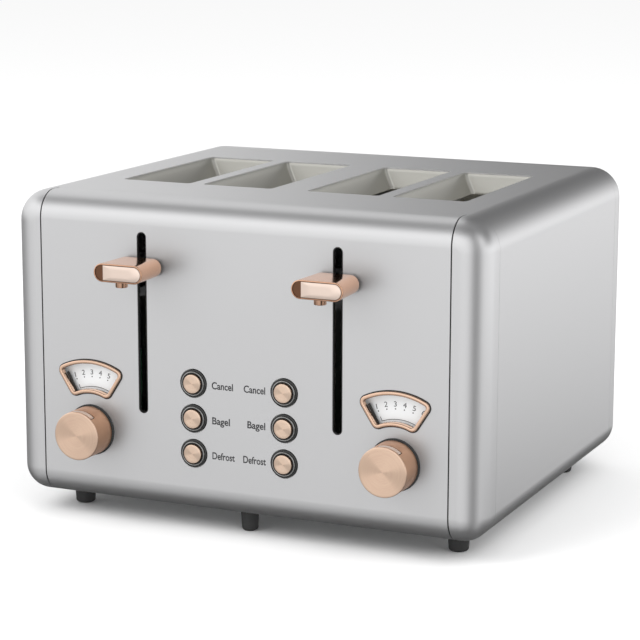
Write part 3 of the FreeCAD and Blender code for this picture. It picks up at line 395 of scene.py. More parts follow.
def lettering(text: str, height: float, squeeze: float, at: Sequence[float], align: str,
              turn: float = 0.0, weight: float = 0.0) -> Surface:
    """Thin letters lying on a sheet that faces the front.

    Args:
        text: what they say.
        height: height of a capital.
        squeeze: share of the usual width.
        at: the anchor point in space.
        align: LEFT, CENTER or RIGHT of the anchor.
        turn: clockwise turn in degrees.
        weight: how much the strokes are fattened.

    Returns:
        The surface, centred on the anchor's height.
    """
    curve = bpy.data.curves.new("letters", "FONT")
    curve.body = text
    curve.align_x = align
    curve.offset = weight
    carrier = bpy.data.objects.new("letters", curve)
    mesh = bpy.data.meshes.new_from_object(carrier)
    mesh.calc_loop_triangles()
    flat = np.zeros(len(mesh.vertices) * 3, np.float32)
    mesh.vertices.foreach_get("co", flat)
    flat = flat.reshape(-1, 3)[:, :2].astype(float)
    faces = np.zeros(len(mesh.loop_triangles) * 3, np.int32)
    mesh.loop_triangles.foreach_get("vertices", faces)
    bpy.data.objects.remove(carrier)
    bpy.data.curves.remove(curve)
    bpy.data.meshes.remove(mesh)
    flat = (flat - (0, CAPITAL / 2)) * (height / CAPITAL) * (squeeze, 1)
    a = math.radians(turn)
    spun = np.stack([flat[:, 0] * math.cos(a) + flat[:, 1] * math.sin(a),
                     flat[:, 1] * math.cos(a) - flat[:, 0] * math.sin(a)], -1)
    points = lifted(spun + (at[0], at[2]), (0, 2), at[1])
    faces = faces.reshape(-1, 3)
    normals = np.tile([0.0, -1.0, 0.0], (len(points), 1))
    return Surface(points, normals, [faces], [points[:, [2, 0]][faces]])


# ---------------------------------------------------------------- finishes


class Bench:
    """Lays out the nodes of one material or node group."""

    def __init__(self, tree: bpy.types.NodeTree) -> None:
        """Start on a tree."""
        self.tree = tree

    def node(self, kind: str, **settings: object) -> bpy.types.Node:
        """A node of that kind, with its own settings."""
        made = self.tree.nodes.new(kind)
        for key, value in settings.items():
            setattr(made, key, value)
        return made

    def link(self, source: bpy.types.NodeSocket, target: bpy.types.NodeSocket) -> None:
        """Join two sockets."""
        self.tree.links.new(source, target)

    def math(self, operation: str, first: object, second: object = 0.0) -> bpy.types.NodeSocket:
        """The result of a sum on two sockets or numbers."""
        made = self.node("ShaderNodeMath", operation=operation)
        for k, value in enumerate((first, second)):
            if isinstance(value, bpy.types.NodeSocket):
                self.link(value, made.inputs[k])
            else:
                made.inputs[k].default_value = value
        return made.outputs[0]

    def ranged(self, value: bpy.types.NodeSocket, low: float, high: float, to_low: float,
               to_high: float) -> bpy.types.NodeSocket:
        """A number brought smoothly from one range to another, and held at its ends."""
        made = self.node("ShaderNodeMapRange", interpolation_type="SMOOTHSTEP")
        self.link(value, made.inputs["Value"])
        for key, number in zip(("From Min", "From Max", "To Min", "To Max"), (low, high, to_low, to_high)):
            made.inputs[key].default_value = number
        return made.outputs["Result"]

    def blended(self, factor: bpy.types.NodeSocket, first: object, second: object) -> bpy.types.NodeSocket:
        """A colour between two colours or colour sockets, by a factor."""
        made = self.node("ShaderNodeMix", data_type="RGBA")
        self.link(factor, made.inputs["Factor"])
        for k, value in ((6, first), (7, second)):
            if isinstance(value, bpy.types.NodeSocket):
                self.link(value, made.inputs[k])
            else:
                made.inputs[k].default_value = (*value, 1.0)
        return made.outputs[2]

    def scaled(self, colour: bpy.types.NodeSocket, share: bpy.types.NodeSocket) -> bpy.types.NodeSocket:
        """A colour times a number."""
        made = self.node("ShaderNodeVectorMath", operation="SCALE")
        self.link(colour, made.inputs[0])
        self.link(share, made.inputs["Scale"])
        return made.outputs[0]

    def noise(self, vector: bpy.types.NodeSocket, scale: float, detail: float = 2.0) -> bpy.types.NodeSocket:
        """Cloudy noise on a vector."""
        made = self.node("ShaderNodeTexNoise")
        made.inputs["Scale"].default_value = scale
        made.inputs["Detail"].default_value = detail
        self.link(vector, made.inputs["Vector"])
        return made.outputs[0]

    def bump(self, shader: bpy.types.Node, height: bpy.types.NodeSocket, strength: float,
             distance: float) -> None:
        """Relief of a shader from a height."""
        made = self.node("ShaderNodeBump")
        made.inputs["Strength"].default_value = strength
        made.inputs["Distance"].default_value = distance
        self.link(height, made.inputs["Height"])
        self.link(made.outputs[0], shader.inputs["Normal"])

    def group(self, tree: bpy.types.NodeTree, **values: float) -> bpy.types.Node:
        """A placed group with its own numbers."""
        made = self.node("ShaderNodeGroup")
        made.node_tree = tree
        for key, value in values.items():
            made.inputs[key.replace("_", " ")].default_value = value
        return made


def group_tree(name: str, inputs: Sequence[tuple[str, str, float]], outputs: Sequence[str]) -> Bench | None:
    """A bench on a new node group with named sockets, or None if the group is there already.

    Args:
        name: the group's name.
        inputs: name, socket type and first value of each input.
        outputs: names of the number outputs.

    Returns:
        The bench, or None.
    """
    if name in bpy.data.node_groups:
        return None
    tree = bpy.data.node_groups.new(name, "ShaderNodeTree")
    for label, kind, value in inputs:
        socket = tree.interface.new_socket(name=label, in_out="INPUT", socket_type=kind)
        if kind == "NodeSocketFloat":
            socket.default_value = value
    for label in outputs:
        tree.interface.new_socket(name=label, in_out="OUTPUT", socket_type="NodeSocketFloat")
    return Bench(tree)


def brushed_group() -> bpy.types.NodeTree:
    """Brush lines: two stretched noises, long along the first number of the vector and fine across it."""
    inputs = [("Vector", "NodeSocketVector", 0.0), ("Run", "NodeSocketFloat", 22.0),
              ("Lines", "NodeSocketFloat", 1500.0)]
    bench = group_tree("brush_lines", inputs, ["Fine", "Broad"])
    if bench is None:
        return bpy.data.node_groups["brush_lines"]
    start, end = bench.node("NodeGroupInput"), bench.node("NodeGroupOutput")
    for label, share, detail in (("Fine", 1.0, 3.0), ("Broad", 0.14, 2.0)):
        stretch = bench.node("ShaderNodeCombineXYZ")
        bench.link(bench.math("MULTIPLY", start.outputs["Run"], share), stretch.inputs[0])
        bench.link(bench.math("MULTIPLY", start.outputs["Lines"], share), stretch.inputs[1])
        bench.link(bench.math("MULTIPLY", start.outputs["Lines"], share), stretch.inputs[2])
        placed = bench.node("ShaderNodeVectorMath", operation="MULTIPLY")
        bench.link(start.outputs["Vector"], placed.inputs[0])
        bench.link(stretch.outputs[0], placed.inputs[1])
        noise = bench.node("ShaderNodeTexNoise")
        noise.inputs["Scale"].default_value = 1.0
        noise.inputs["Detail"].default_value = detail
        noise.inputs["Roughness"].default_value = 0.65
        bench.link(placed.outputs[0], noise.inputs["Vector"])
        bench.link(noise.outputs[0], end.inputs[label])
    return bench.tree


def handled_group() -> bpy.types.NodeTree:
    """Large soft cloudy patches as marks of use, and a rim mask where the surface turns sharply."""
    bench = group_tree("handled", [("Vector", "NodeSocketVector", 0.0), ("Size", "NodeSocketFloat", 28.0)],
                       ["Smudge", "Rim"])
    if bench is None:
        return bpy.data.node_groups["handled"]
    start, end = bench.node("NodeGroupInput"), bench.node("NodeGroupOutput")
    noise = bench.node("ShaderNodeTexNoise")
    noise.inputs["Detail"].default_value = 4.0
    noise.inputs["Roughness"].default_value = 0.6
    bench.link(start.outputs["Vector"], noise.inputs["Vector"])
    bench.link(start.outputs["Size"], noise.inputs["Scale"])
    bench.link(bench.ranged(noise.outputs[0], 0.35, 0.68, 0.0, 1.0), end.inputs["Smudge"])
    shape = bench.node("ShaderNodeNewGeometry")
    bench.link(bench.ranged(shape.outputs["Pointiness"], 0.52, 0.62, 0.0, 1.0), end.inputs["Rim"])
    return bench.tree


@dataclass(frozen=True)
class Finish:
    """A finish of some pieces: its name, the record's slot, its colour and how rough it is."""

    name: str
    slot: str
    colour: Colour
    roughness: float

    def material(self) -> bpy.types.Material:
        """The material, made the first time it is asked for."""
        if self.name in bpy.data.materials:
            return bpy.data.materials[self.name]
        made = bpy.data.materials.new(self.name)
        made.use_nodes = True
        made.diffuse_color = (*self.colour, 1.0)
        made.node_tree.nodes.clear()
        bench = Bench(made.node_tree)
        shader = bench.node("ShaderNodeBsdfPrincipled")
        shader.inputs["Base Color"].default_value = (*self.colour, 1.0)
        shader.inputs["Roughness"].default_value = self.roughness
        bench.link(shader.outputs[0], bench.node("ShaderNodeOutputMaterial").inputs["Surface"])
        self.dress(bench, shader)
        return made

    def dress(self, bench: Bench, shader: bpy.types.Node) -> None:
        """Adds what makes this finish different from a plain colour."""

    def handled(self, bench: Bench, size: float) -> bpy.types.Node:
        """The marks-of-use group on Object coordinates."""
        place = bench.node("ShaderNodeTexCoord")
        marks = bench.group(handled_group(), Size=size)
        bench.link(place.outputs["Object"], marks.inputs["Vector"])
        return marks

    def shade(self, factor: float) -> Colour:
        """The finish's colour made darker or lighter."""
        return tuple(min(1.0, c * factor) for c in self.colour)


def painted_shadow_in_mirrors(bench: Bench, colour: bpy.types.NodeSocket, share: float = 0.25) -> bpy.types.NodeSocket:
    """Painted shadow in reflections: the colour, with only a share of it left where it is seen mirrored in
    another part, so that the part shows dark on the metal round it.
    """
    path = bench.node("ShaderNodeLightPath")
    lost = bench.math("MULTIPLY", path.outputs["Is Glossy Ray"], 1.0 - share)
    return bench.scaled(colour, bench.math("SUBTRACT", 1.0, lost))


@dataclass(frozen=True)
class Brushed(Finish):
    """Metal with brush lines along the first UV number, which stretch its reflections across them."""

    stretch: float = 0.6
    run: float = 22.0
    lines: float = 1500.0
    tint: float = 0.06
    relief: float = 0.00001

    def dress(self, bench: Bench, shader: bpy.types.Node) -> None:
        """Brush lines in the colour, the roughness and the height, with faint marks of handling."""
        place = bench.node("ShaderNodeUVMap", uv_map=UV_NAME)
        grain = bench.group(brushed_group(), Run=self.run, Lines=self.lines)
        bench.link(place.outputs[0], grain.inputs["Vector"])
        marks = self.handled(bench, 14.0)
        both = bench.math("ADD", bench.math("MULTIPLY", grain.outputs["Fine"], 0.6),
                          bench.math("MULTIPLY", grain.outputs["Broad"], 0.4))
        share = bench.ranged(both, 0.36, 0.64, 0.0, 1.0)
        colour = bench.blended(share, self.shade(1 - self.tint), self.shade(1 + self.tint))
        bench.link(self.figured(bench, colour), shader.inputs["Base Color"])
        rough = bench.math("ADD", bench.math("MULTIPLY", grain.outputs["Fine"], 0.12),
                           bench.math("MULTIPLY", marks.outputs["Smudge"], 0.02))
        bench.link(bench.math("ADD", rough, self.roughness - 0.07), shader.inputs["Roughness"])
        bench.bump(shader, grain.outputs["Fine"], 0.35, self.relief)
        shader.inputs["Metallic"].default_value = 1.0
        shader.inputs["Anisotropic"].default_value = self.stretch
        shader.inputs["Anisotropic Rotation"].default_value = 0.25
        tangent = bench.node("ShaderNodeTangent", direction_type="UV_MAP", uv_map=UV_NAME)
        bench.link(tangent.outputs[0], shader.inputs["Tangent"])

    def figured(self, bench: Bench, colour: bpy.types.NodeSocket) -> bpy.types.NodeSocket:
        """The colour with any larger pattern of this finish."""
        return colour


@dataclass(frozen=True)
class Spun(Brushed):
    """Metal spun in a lathe, with a painted sheen of two pale and two dark sectors on the face, painted shade
    as a deeper colour on the side, and a painted shadow in its reflections.
    """

    reach: float = 15.5 * MM
    # Deeper colour of the side, which is painted shade.
    side: Colour = (0.80, 0.47, 0.30)
    # Where the painted dark sheen sectors lie, and how much darker they are.
    painted_dark_turn: float = 104.0
    depth: float = 0.13

    def figured(self, bench: Bench, colour: bpy.types.NodeSocket) -> bpy.types.NodeSocket:
        """Painted sheen sectors by the turn round the axis, which is the first UV number over the reach,
        painted shade on the side, and a painted shadow in reflections.
        """
        place = bench.node("ShaderNodeUVMap", uv_map=UV_NAME)
        parts = bench.node("ShaderNodeSeparateXYZ")
        bench.link(place.outputs[0], parts.inputs[0])
        turn = bench.math("DIVIDE", parts.outputs[0], self.reach)
        past = bench.math("SUBTRACT", turn, math.radians(self.painted_dark_turn))
        wave = bench.math("COSINE", bench.math("MULTIPLY", past, 2.0))
        dark = bench.ranged(wave, 0.1, 1.0, 0.0, self.depth)
        on_shaded_side = bench.ranged(parts.outputs[1], self.reach, self.reach + 0.5 * MM, 0.0, 1.0)
        mixed = bench.blended(on_shaded_side, colour, self.side)
        return painted_shadow_in_mirrors(bench, bench.scaled(mixed, bench.math("SUBTRACT", 1.0, dark)))


@dataclass(frozen=True)
class Plated(Finish):
    """Smooth or satin metal with fine mottling, and a rim that is brighter where the surface turns sharply."""

    mottle: float = 0.04
    size: float = 900.0
    relief: float = 0.000004
    # Share of the colour left where the part is seen mirrored; below 1 it paints a shadow into the part's
    # reflections.
    mirrored: float = 1.0

    def dress(self, bench: Bench, shader: bpy.types.Node) -> None:
        """Fine mottling in colour, roughness and height."""
        shader.inputs["Metallic"].default_value = 1.0
        marks = self.handled(bench, 30.0)
        place = bench.node("ShaderNodeTexCoord")
        noise = bench.noise(place.outputs["Object"], self.size)
        share = bench.math("ADD", bench.math("MULTIPLY", noise, 0.7),
                           bench.math("MULTIPLY", marks.outputs["Rim"], 0.5))
        colour = bench.blended(share, self.shade(1 - self.mottle), self.shade(1 + self.mottle))
        # Painted shadow: the part darkens where it is seen in the metal round it.
        if self.mirrored < 1.0:
            colour = painted_shadow_in_mirrors(bench, colour, self.mirrored)
        bench.link(colour, shader.inputs["Base Color"])
        rough = bench.math("ADD", bench.math("MULTIPLY", noise, 0.05),
                           bench.math("MULTIPLY", marks.outputs["Smudge"], 0.05))
        bench.link(bench.math("ADD", rough, self.roughness - 0.03), shader.inputs["Roughness"])
        bench.bump(shader, noise, 0.3, self.relief)


@dataclass(frozen=True)
class Spangled(Finish):
    """Zinc coated sheet with the coat's crystals."""

    def dress(self, bench: Bench, shader: bpy.types.Node) -> None:
        """Crystals a few millimetres across, each with its own brightness and gloss."""
        shader.inputs["Metallic"].default_value = 1.0
        place = bench.node("ShaderNodeTexCoord")
        cells = bench.node("ShaderNodeTexVoronoi")
        cells.inputs["Scale"].default_value = 260.0
        bench.link(place.outputs["Object"], cells.inputs["Vector"])
        crystal = bench.node("ShaderNodeSeparateColor")
        bench.link(cells.outputs["Color"], crystal.inputs[0])
        colour = bench.blended(crystal.outputs[0], self.shade(0.86), self.shade(1.1))
        bench.link(colour, shader.inputs["Base Color"])
        bench.link(bench.ranged(crystal.outputs[1], 0.0, 1.0, self.roughness - 0.07, self.roughness + 0.1),
                   shader.inputs["Roughness"])


@dataclass(frozen=True)
class Moulded(Finish):
    """Moulded plastic or rubber with a fine texture."""

    texture: float = 1400.0
    relief: float = 0.00004
    gloss: float = 0.5

    def dress(self, bench: Bench, shader: bpy.types.Node) -> None:
        """A fine grain in the height, and soft patches in the gloss."""
        marks = self.handled(bench, 40.0)
        place = bench.node("ShaderNodeTexCoord")
        noise = bench.noise(place.outputs["Object"], self.texture)
        colour = bench.blended(marks.outputs["Smudge"], self.shade(0.85), self.shade(1.25))
        bench.link(colour, shader.inputs["Base Color"])
        rough = bench.ranged(marks.outputs["Smudge"], 0.0, 1.0, self.roughness - 0.04, self.roughness + 0.06)
        bench.link(rough, shader.inputs["Roughness"])
        bench.bump(shader, noise, 0.5, self.relief)
        shader.inputs["Specular IOR Level"].default_value = self.gloss


@dataclass(frozen=True)
class HeaterBoard(Finish):
    """Mica board with the flat heating ribbon wound round it in level turns."""

    ribbon: Colour = (0.42, 0.38, 0.35)
    low: float = 0.06
    pitch: float = 0.01
    share: float = 0.24

    def dress(self, bench: Bench, shader: bpy.types.Node) -> None:
        """Flaky mica, and metal where the height falls within a turn of the ribbon."""
        place = bench.node("ShaderNodeTexCoord")
        parts = bench.node("ShaderNodeSeparateXYZ")
        bench.link(place.outputs["Object"], parts.inputs[0])
        turn = bench.math("FRACT", bench.math("DIVIDE", bench.math("SUBTRACT", parts.outputs[2], self.low),
                                              self.pitch))
        wound = bench.math("LESS_THAN", turn, self.share)
        flakes = bench.noise(place.outputs["Object"], 160.0, 6.0)
        mica = bench.blended(flakes, self.shade(0.7), self.shade(1.25))
        bench.link(bench.blended(wound, mica, self.ribbon), shader.inputs["Base Color"])
        bench.link(wound, shader.inputs["Metallic"])
        bench.link(bench.ranged(flakes, 0.3, 0.7, self.roughness - 0.1, self.roughness + 0.1),
                   shader.inputs["Roughness"])


@dataclass(frozen=True)
class Wound(Finish):
    """Enamelled wire wound in level turns."""

    wires: float = 9000.0

    def dress(self, bench: Bench, shader: bpy.types.Node) -> None:
        """Turns of wire as waves in the height."""
        shader.inputs["Metallic"].default_value = 1.0
        place = bench.node("ShaderNodeTexCoord")
        parts = bench.node("ShaderNodeSeparateXYZ")
        bench.link(place.outputs["Object"], parts.inputs[0])
        wave = bench.math("SINE", bench.math("MULTIPLY", parts.outputs[2], self.wires))
        bench.link(bench.blended(bench.ranged(wave, -1.0, 1.0, 0.0, 1.0), self.shade(0.5), self.shade(1.2)),
                   shader.inputs["Base Color"])
        bench.bump(shader, wave, 1.0, 0.0002)


@dataclass(frozen=True)
class Circuit(Finish):
    """Circuit board with copper tracks under a green varnish."""

    track: Colour = (0.10, 0.28, 0.12)

    def dress(self, bench: Bench, shader: bpy.types.Node) -> None:
        """Tracks as the edges of square cells."""
        place = bench.node("ShaderNodeTexCoord")
        cells = bench.node("ShaderNodeTexVoronoi", distance="CHEBYCHEV", feature="F1")
        cells.inputs["Scale"].default_value = 220.0
        bench.link(place.outputs["Object"], cells.inputs["Vector"])
        share = bench.ranged(cells.outputs["Distance"], 0.42, 0.5, 0.0, 1.0)
        bench.link(bench.blended(share, self.colour, self.track), shader.inputs["Base Color"])
        shader.inputs["Coat Weight"].default_value = 0.5


@dataclass(frozen=True)
class DialPaint(Finish):
    """Silver paint of the browning dial, with a fine sparkle."""

    def dress(self, bench: Bench, shader: bpy.types.Node) -> None:
        """Metal flakes in the colour and the gloss."""
        place = bench.node("ShaderNodeTexCoord")
        noise = bench.noise(place.outputs["Object"], 3200.0)
        bench.link(bench.blended(noise, self.shade(0.93), self.shade(1.06)),
                   shader.inputs["Base Color"])
        bench.link(bench.ranged(noise, 0.3, 0.7, self.roughness - 0.08, self.roughness + 0.08),
                   shader.inputs["Roughness"])
        shader.inputs["Metallic"].default_value = 0.25


@dataclass(frozen=True)
class Ink(Finish):
    """Screen printed ink with slightly uneven cover."""

    def dress(self, bench: Bench, shader: bpy.types.Node) -> None:
        """Uneven cover in the colour."""
        place = bench.node("ShaderNodeTexCoord")
        noise = bench.noise(place.outputs["Object"], 1800.0)
        bench.link(bench.blended(noise, self.shade(0.7), self.shade(1.4)),
                   shader.inputs["Base Color"])


STEEL = Brushed("brushed_steel", "brushed_steel", (0.615, 0.632, 0.626), 0.15, run=60.0, lines=620.0,
                tint=0.16)
# Throat steel made near black: painted shade inside the bread slots.
SHADED_THROAT_STEEL = Brushed("throat_steel", "throat_steel", (0.17, 0.165, 0.16), 0.32, lines=900.0)
ZINC = Spangled("zinc_steel", "zinc_steel", (0.55, 0.57, 0.58), 0.38)
BRIGHT = Plated("bright_steel", "bright_steel", (0.74, 0.74, 0.73), 0.16)
RING = Plated("ring_steel", "bright_steel", (0.44, 0.44, 0.43), 0.20)
WIRE = Plated("wire_chrome", "wire_chrome", (0.50, 0.50, 0.50), 0.22, size=500.0)
# Both spun rose finishes paint sheen sectors on the face, shade on the side and shadow in reflections.
ROSE_SPUN = Spun("rose_spun", "rose_gold", (0.99, 0.70, 0.53), 0.30, stretch=0.8, run=60.0, lines=2600.0,
                 tint=0.05)
ROSE_CAP = Spun("rose_cap", "rose_gold", (1.0, 0.74, 0.58), 0.30, stretch=0.8, run=60.0, lines=2600.0,
                tint=0.05, reach=5.95 * MM, depth=0.2)
# Rose satin keeps 0.15 of its colour in reflections: a painted shadow of the handles on the panel.
ROSE_SATIN = Plated("rose_satin", "rose_gold", (0.84, 0.51, 0.35), 0.17, mirrored=0.15)
ROSE_POLISHED = Plated("rose_polished", "rose_gold", (0.90, 0.62, 0.46), 0.14, mottle=0.02)
# Rose plate keeps 0.15 of its colour in reflections: a painted shadow on the metal round it.
ROSE_PLATE = Plated("rose_plate", "rose_plate", (0.99, 0.78, 0.66), 0.30, mottle=0.02, mirrored=0.15)
# Near black rose: painted shade on the floor of the lever's recess.
ROSE_RECESS_SHADE = Plated("rose_recess_shade", "rose_gold", (0.20, 0.10, 0.06), 0.4)
BLACK = Moulded("black_plastic", "black_plastic", (0.003, 0.003, 0.003), 0.30, gloss=0.12)
RUBBER = Moulded("black_rubber", "black_rubber", (0.003, 0.003, 0.003), 0.5, texture=700.0, gloss=0.08)
MICA = HeaterBoard("mica", "mica", (0.55, 0.47, 0.34), 0.5)
COPPER = Wound("copper_coil", "copper_coil", (0.80, 0.38, 0.20), 0.3)
BOARD = Circuit("circuit_board", "circuit_board", (0.02, 0.16, 0.06), 0.4)
DIAL = DialPaint("dial_face", "dial_face", (0.34, 0.34, 0.35), 0.40)
NEEDLE = Moulded("needle", "needle", (0.02, 0.02, 0.02), 0.4)
PRINT = Ink("print", "dial_face", (0.03, 0.03, 0.032), 0.55)


# ---------------------------------------------------------------- sub-assemblies


def middle(node: str) -> Array:
    """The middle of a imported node's box at rest."""
    low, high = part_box(node)
    return (np.array(low) + np.array(high)) / 2


@dataclass
class Fan:
    """The fan-shaped outline of the browning gauge, centred on its knob."""

    outer: float = 45.5 * MM
    inner: float = 23.5 * MM
    half_angle: float = 32.5
    corner: float = 4.4 * MM

    def outline(self, grow: float = 0.0) -> Array:
        """The outline, moved outwards by an amount.

        An outer arc, an inner arc and two radial sides, joined by round corners. Each corner's circle
        touches its arc and its side, so its middle lies at a turn of asin(corner / distance) from the side.

        Args:
            grow: how far outwards the line lies.

        Returns:
            (n, 2) points, across and up from the knob's axis.
        """
        c, radius = self.corner, self.corner + grow
        far, near = self.outer - c, self.inner + c
        far_turn = self.half_angle - math.degrees(math.asin(c / far))
        near_turn = self.half_angle - math.degrees(math.asin(c / near))
        h = self.half_angle
        parts = [
            arc((0, 0), self.outer + grow, 90 + far_turn, 90 - far_turn, 40),
            arc(polar(far, far_turn), radius, 90 - far_turn, -h, 9)[1:],
            arc(polar(near, near_turn), radius, -h, -90 - near_turn, 9),
            arc((0, 0), self.inner - grow, 90 - near_turn, 90 + near_turn, 24)[1:],
            arc(polar(near, -near_turn), radius, -90 + near_turn, -180 + h, 9)[1:],
            arc(polar(far, -far_turn), radius, -180 + h, -270 + far_turn, 9),
        ]
        return np.concatenate(parts)[:-1]


@dataclass
class Case:
    """The steel outside: front pan in three pieces, wrap with the bread slots, rear pan, and black strips under
    the seams that are painted shade.
    """

    skin: float = 0.8 * MM
    edge: float = 16.5 * MM
    top_corner: float = 20.0 * MM
    bottom_corner: float = 17.0 * MM
    depth: float = 23.6 * MM
    land: float = 0.4 * MM
    seam_gap: float = 0.9 * MM
    flange: float = 24.0 * MM
    slot_width: float = 49.2 * MM
    slot_length: float = 128.8 * MM
    slot_corner: float = 3.0 * MM
    lever_slot: tuple[float, float, float] = (6.6 * MM, 74.6 * MM, 189.8 * MM)
    shaft_hole: float = 4.0 * MM
    button_hole: float = 9.3 * MM
    window_inset: float = 1.3 * MM
    gland_hole: float = 6.0 * MM
    tray_opening: tuple[float, float] = (134.2 * MM, 8.2 * MM)
    tray_z: float = 34.9 * MM
    vent: tuple[float, float] = (34.0 * MM, 3.0 * MM)
    vent_low: float = 84.0 * MM
    vent_pitch: float = 9.0 * MM
    vent_rows: int = 9
    fan: Fan = field(default_factory=Fan)

    def __post_init__(self) -> None:
        """Reads where the case lies."""
        low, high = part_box("front_panel")
        left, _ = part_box("front_corner_left")
        _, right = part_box("front_corner_right")
        self.front, self.low, self.top = low.y, low.z, high.z
        self.left, self.right = left.x, right.x
        self.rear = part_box("rear_panel")[1].y
        self.seam = high.x + self.seam_gap / 2

    def rows(self) -> tuple[Array, Array, Array]:
        """The pan's section, from a short flat land round a quarter circle to the end of the wall.

        Returns:
            For each point its inset from the wall, its way back from the face, and its tilt.
        """
        tilt = np.linspace(0, np.pi / 2, ROUND_STEPS)
        inset = np.concatenate([[self.edge + self.land], self.edge * (1 - np.sin(tilt)), [0.0]])
        back = np.concatenate([[0.0], self.edge * (1 - np.cos(tilt)), [self.depth]])
        return inset, back, np.concatenate([[0.0], tilt, [np.pi / 2]])

    def strip(self, edge: Array, away: Array, face: float, facing: float) -> Surface:
        """The pan's round edge and wall along part of its outline.

        A point is the outline moved in by the row's inset and back by its depth. Its normal turns from
        the face's direction to the outline's by the row's tilt.

        Args:
            edge: (n, 2) outline points, across and up.
            away: (n, 2) outward directions of the outline.
            face: where the pan's face lies.
            facing: -1 for a face to the front, 1 for one to the rear.

        Returns:
            The surface, with its grain upright.
        """
        inset, back, tilt = (a[:, None] for a in self.rows())
        x = edge[None, :, 0] - inset * away[None, :, 0]
        z = edge[None, :, 1] - inset * away[None, :, 1]
        points = np.stack([x, face - facing * back + 0 * x, z], -1)
        side = np.sin(tilt)
        lean = facing * np.cos(tilt) + 0 * x
        normals = np.stack([side * away[None, :, 0], lean, side * away[None, :, 1]], -1)
        steps = np.hypot(np.diff(inset[:, 0]), np.diff(back[:, 0]))
        run = np.concatenate([[0.0], np.cumsum(steps)])[:, None]
        uv = np.stack([z[:1] + run * away[None, :, 1], x[:1] + run * away[None, :, 0]], -1)
        return grid(points, uv, normals)

    def openings(self) -> list[Array]:
        """The holes of the middle front panel: lever slots, gauge windows, shaft holes and button holes."""
        width, low, high = self.lever_slot
        holes = []
        for side in Side:
            holes.append(slit(self.lever_x(side), (low + high) / 2, width, high - low))
            knob = middle(f"browning_knob_{side.value}")
            holes.append(self.fan.outline(-self.window_inset) + (knob[0], knob[2]))
            holes.append(arc((knob[0], knob[2]), self.shaft_hole, 0, 345, 24))
            for job in Job:
                spot = middle(f"button_{job.value}_{side.value}")
                holes.append(arc((spot[0], spot[2]), self.button_hole, 0, 352.5, 48))
        return holes

    @staticmethod
    def lever_x(side: Side) -> float:
        """Where the lever's slot is."""
        return float(middle(f"lever_slot_trim_{side.value}")[0])

    def front_middle(self) -> Surface:
        """Face of the middle front panel with its openings, and its round edges above and below."""
        half = self.seam - self.seam_gap / 2
        across = np.linspace(-half, half, 41)
        up, ones = np.zeros((41, 2)), np.ones(41)
        up[:, 1] = 1
        above = self.strip(np.stack([across, self.top * ones], -1), up, self.front, -1)
        below = self.strip(np.stack([across, self.low * ones], -1), -up, self.front, -1)
        inset = self.edge + self.land
        outline = np.concatenate([
            np.stack([across, (self.low + inset) * ones], -1),
            np.stack([across[::-1], (self.top - inset) * ones], -1),
        ])
        flat = fill(outline, self.openings(), (0, 2), self.front, (0, -1, 0), grain=2)
        return joined([above, below, flat])

    def outline(self) -> tuple[Array, Array]:
        """The whole case's outline seen from the front, and its outward directions."""
        width, height = self.right - self.left, self.top - self.low
        radii = (self.top_corner, self.top_corner, self.bottom_corner, self.bottom_corner)
        points, away = rounded_loop(width, height, radii, 12)
        return points + ((self.left + self.right) / 2, (self.low + self.top) / 2), away

    def front_corner(self, side: Side) -> Surface:
        """Front corner piece from the seam round the side."""
        points, away = self.outline()
        start = self.seam + self.seam_gap / 2
        corner = points[:, 0] * side.sign > 0
        points, away = points[corner], away[corner]
        order = np.argsort(points[:, 1], kind="stable")
        points, away = points[order], away[order]
        ends = np.array([[side.sign * start, self.low], [side.sign * start, self.top]])
        points = np.concatenate([ends[:1], points, ends[1:]])
        away = np.concatenate([[[0, -1]], away, [[0, 1]]])
        round_edge = self.strip(points, away, self.front, -1)
        inner = points - (self.edge + self.land) * away
        flat = fill(inner, [], (0, 2), self.front, (0, -1, 0), grain=2)
        return round_edge + flat

    def rear_pan(self) -> Surface:
        """Rear pan with its vents, the cord's hole and the two tray openings."""
        points, away = self.outline()
        closed_points, closed_away = np.concatenate([points, points[:1]]), np.concatenate([away, away[:1]])
        edge = self.strip(closed_points, closed_away, self.rear, 1)
        gland = middle("cord_gland")
        holes = [arc((gland[0], gland[2]), self.gland_hole, 0, 345, 24)]
        for side in Side:
            low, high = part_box(f"crumb_tray_{side.value}")
            x = (low.x + high.x) / 2
            holes.append(rounded_loop(*self.tray_opening, [0.5 * MM] * 4, 4)[0] + (x, self.tray_z))
            for row in range(self.vent_rows):
                holes.append(slit(x, self.vent_low + row * self.vent_pitch, *self.vent))
        flat = fill(points - (self.edge + self.land) * away, holes, (0, 2), self.rear, (0, 1, 0), grain=2)
        return edge + flat

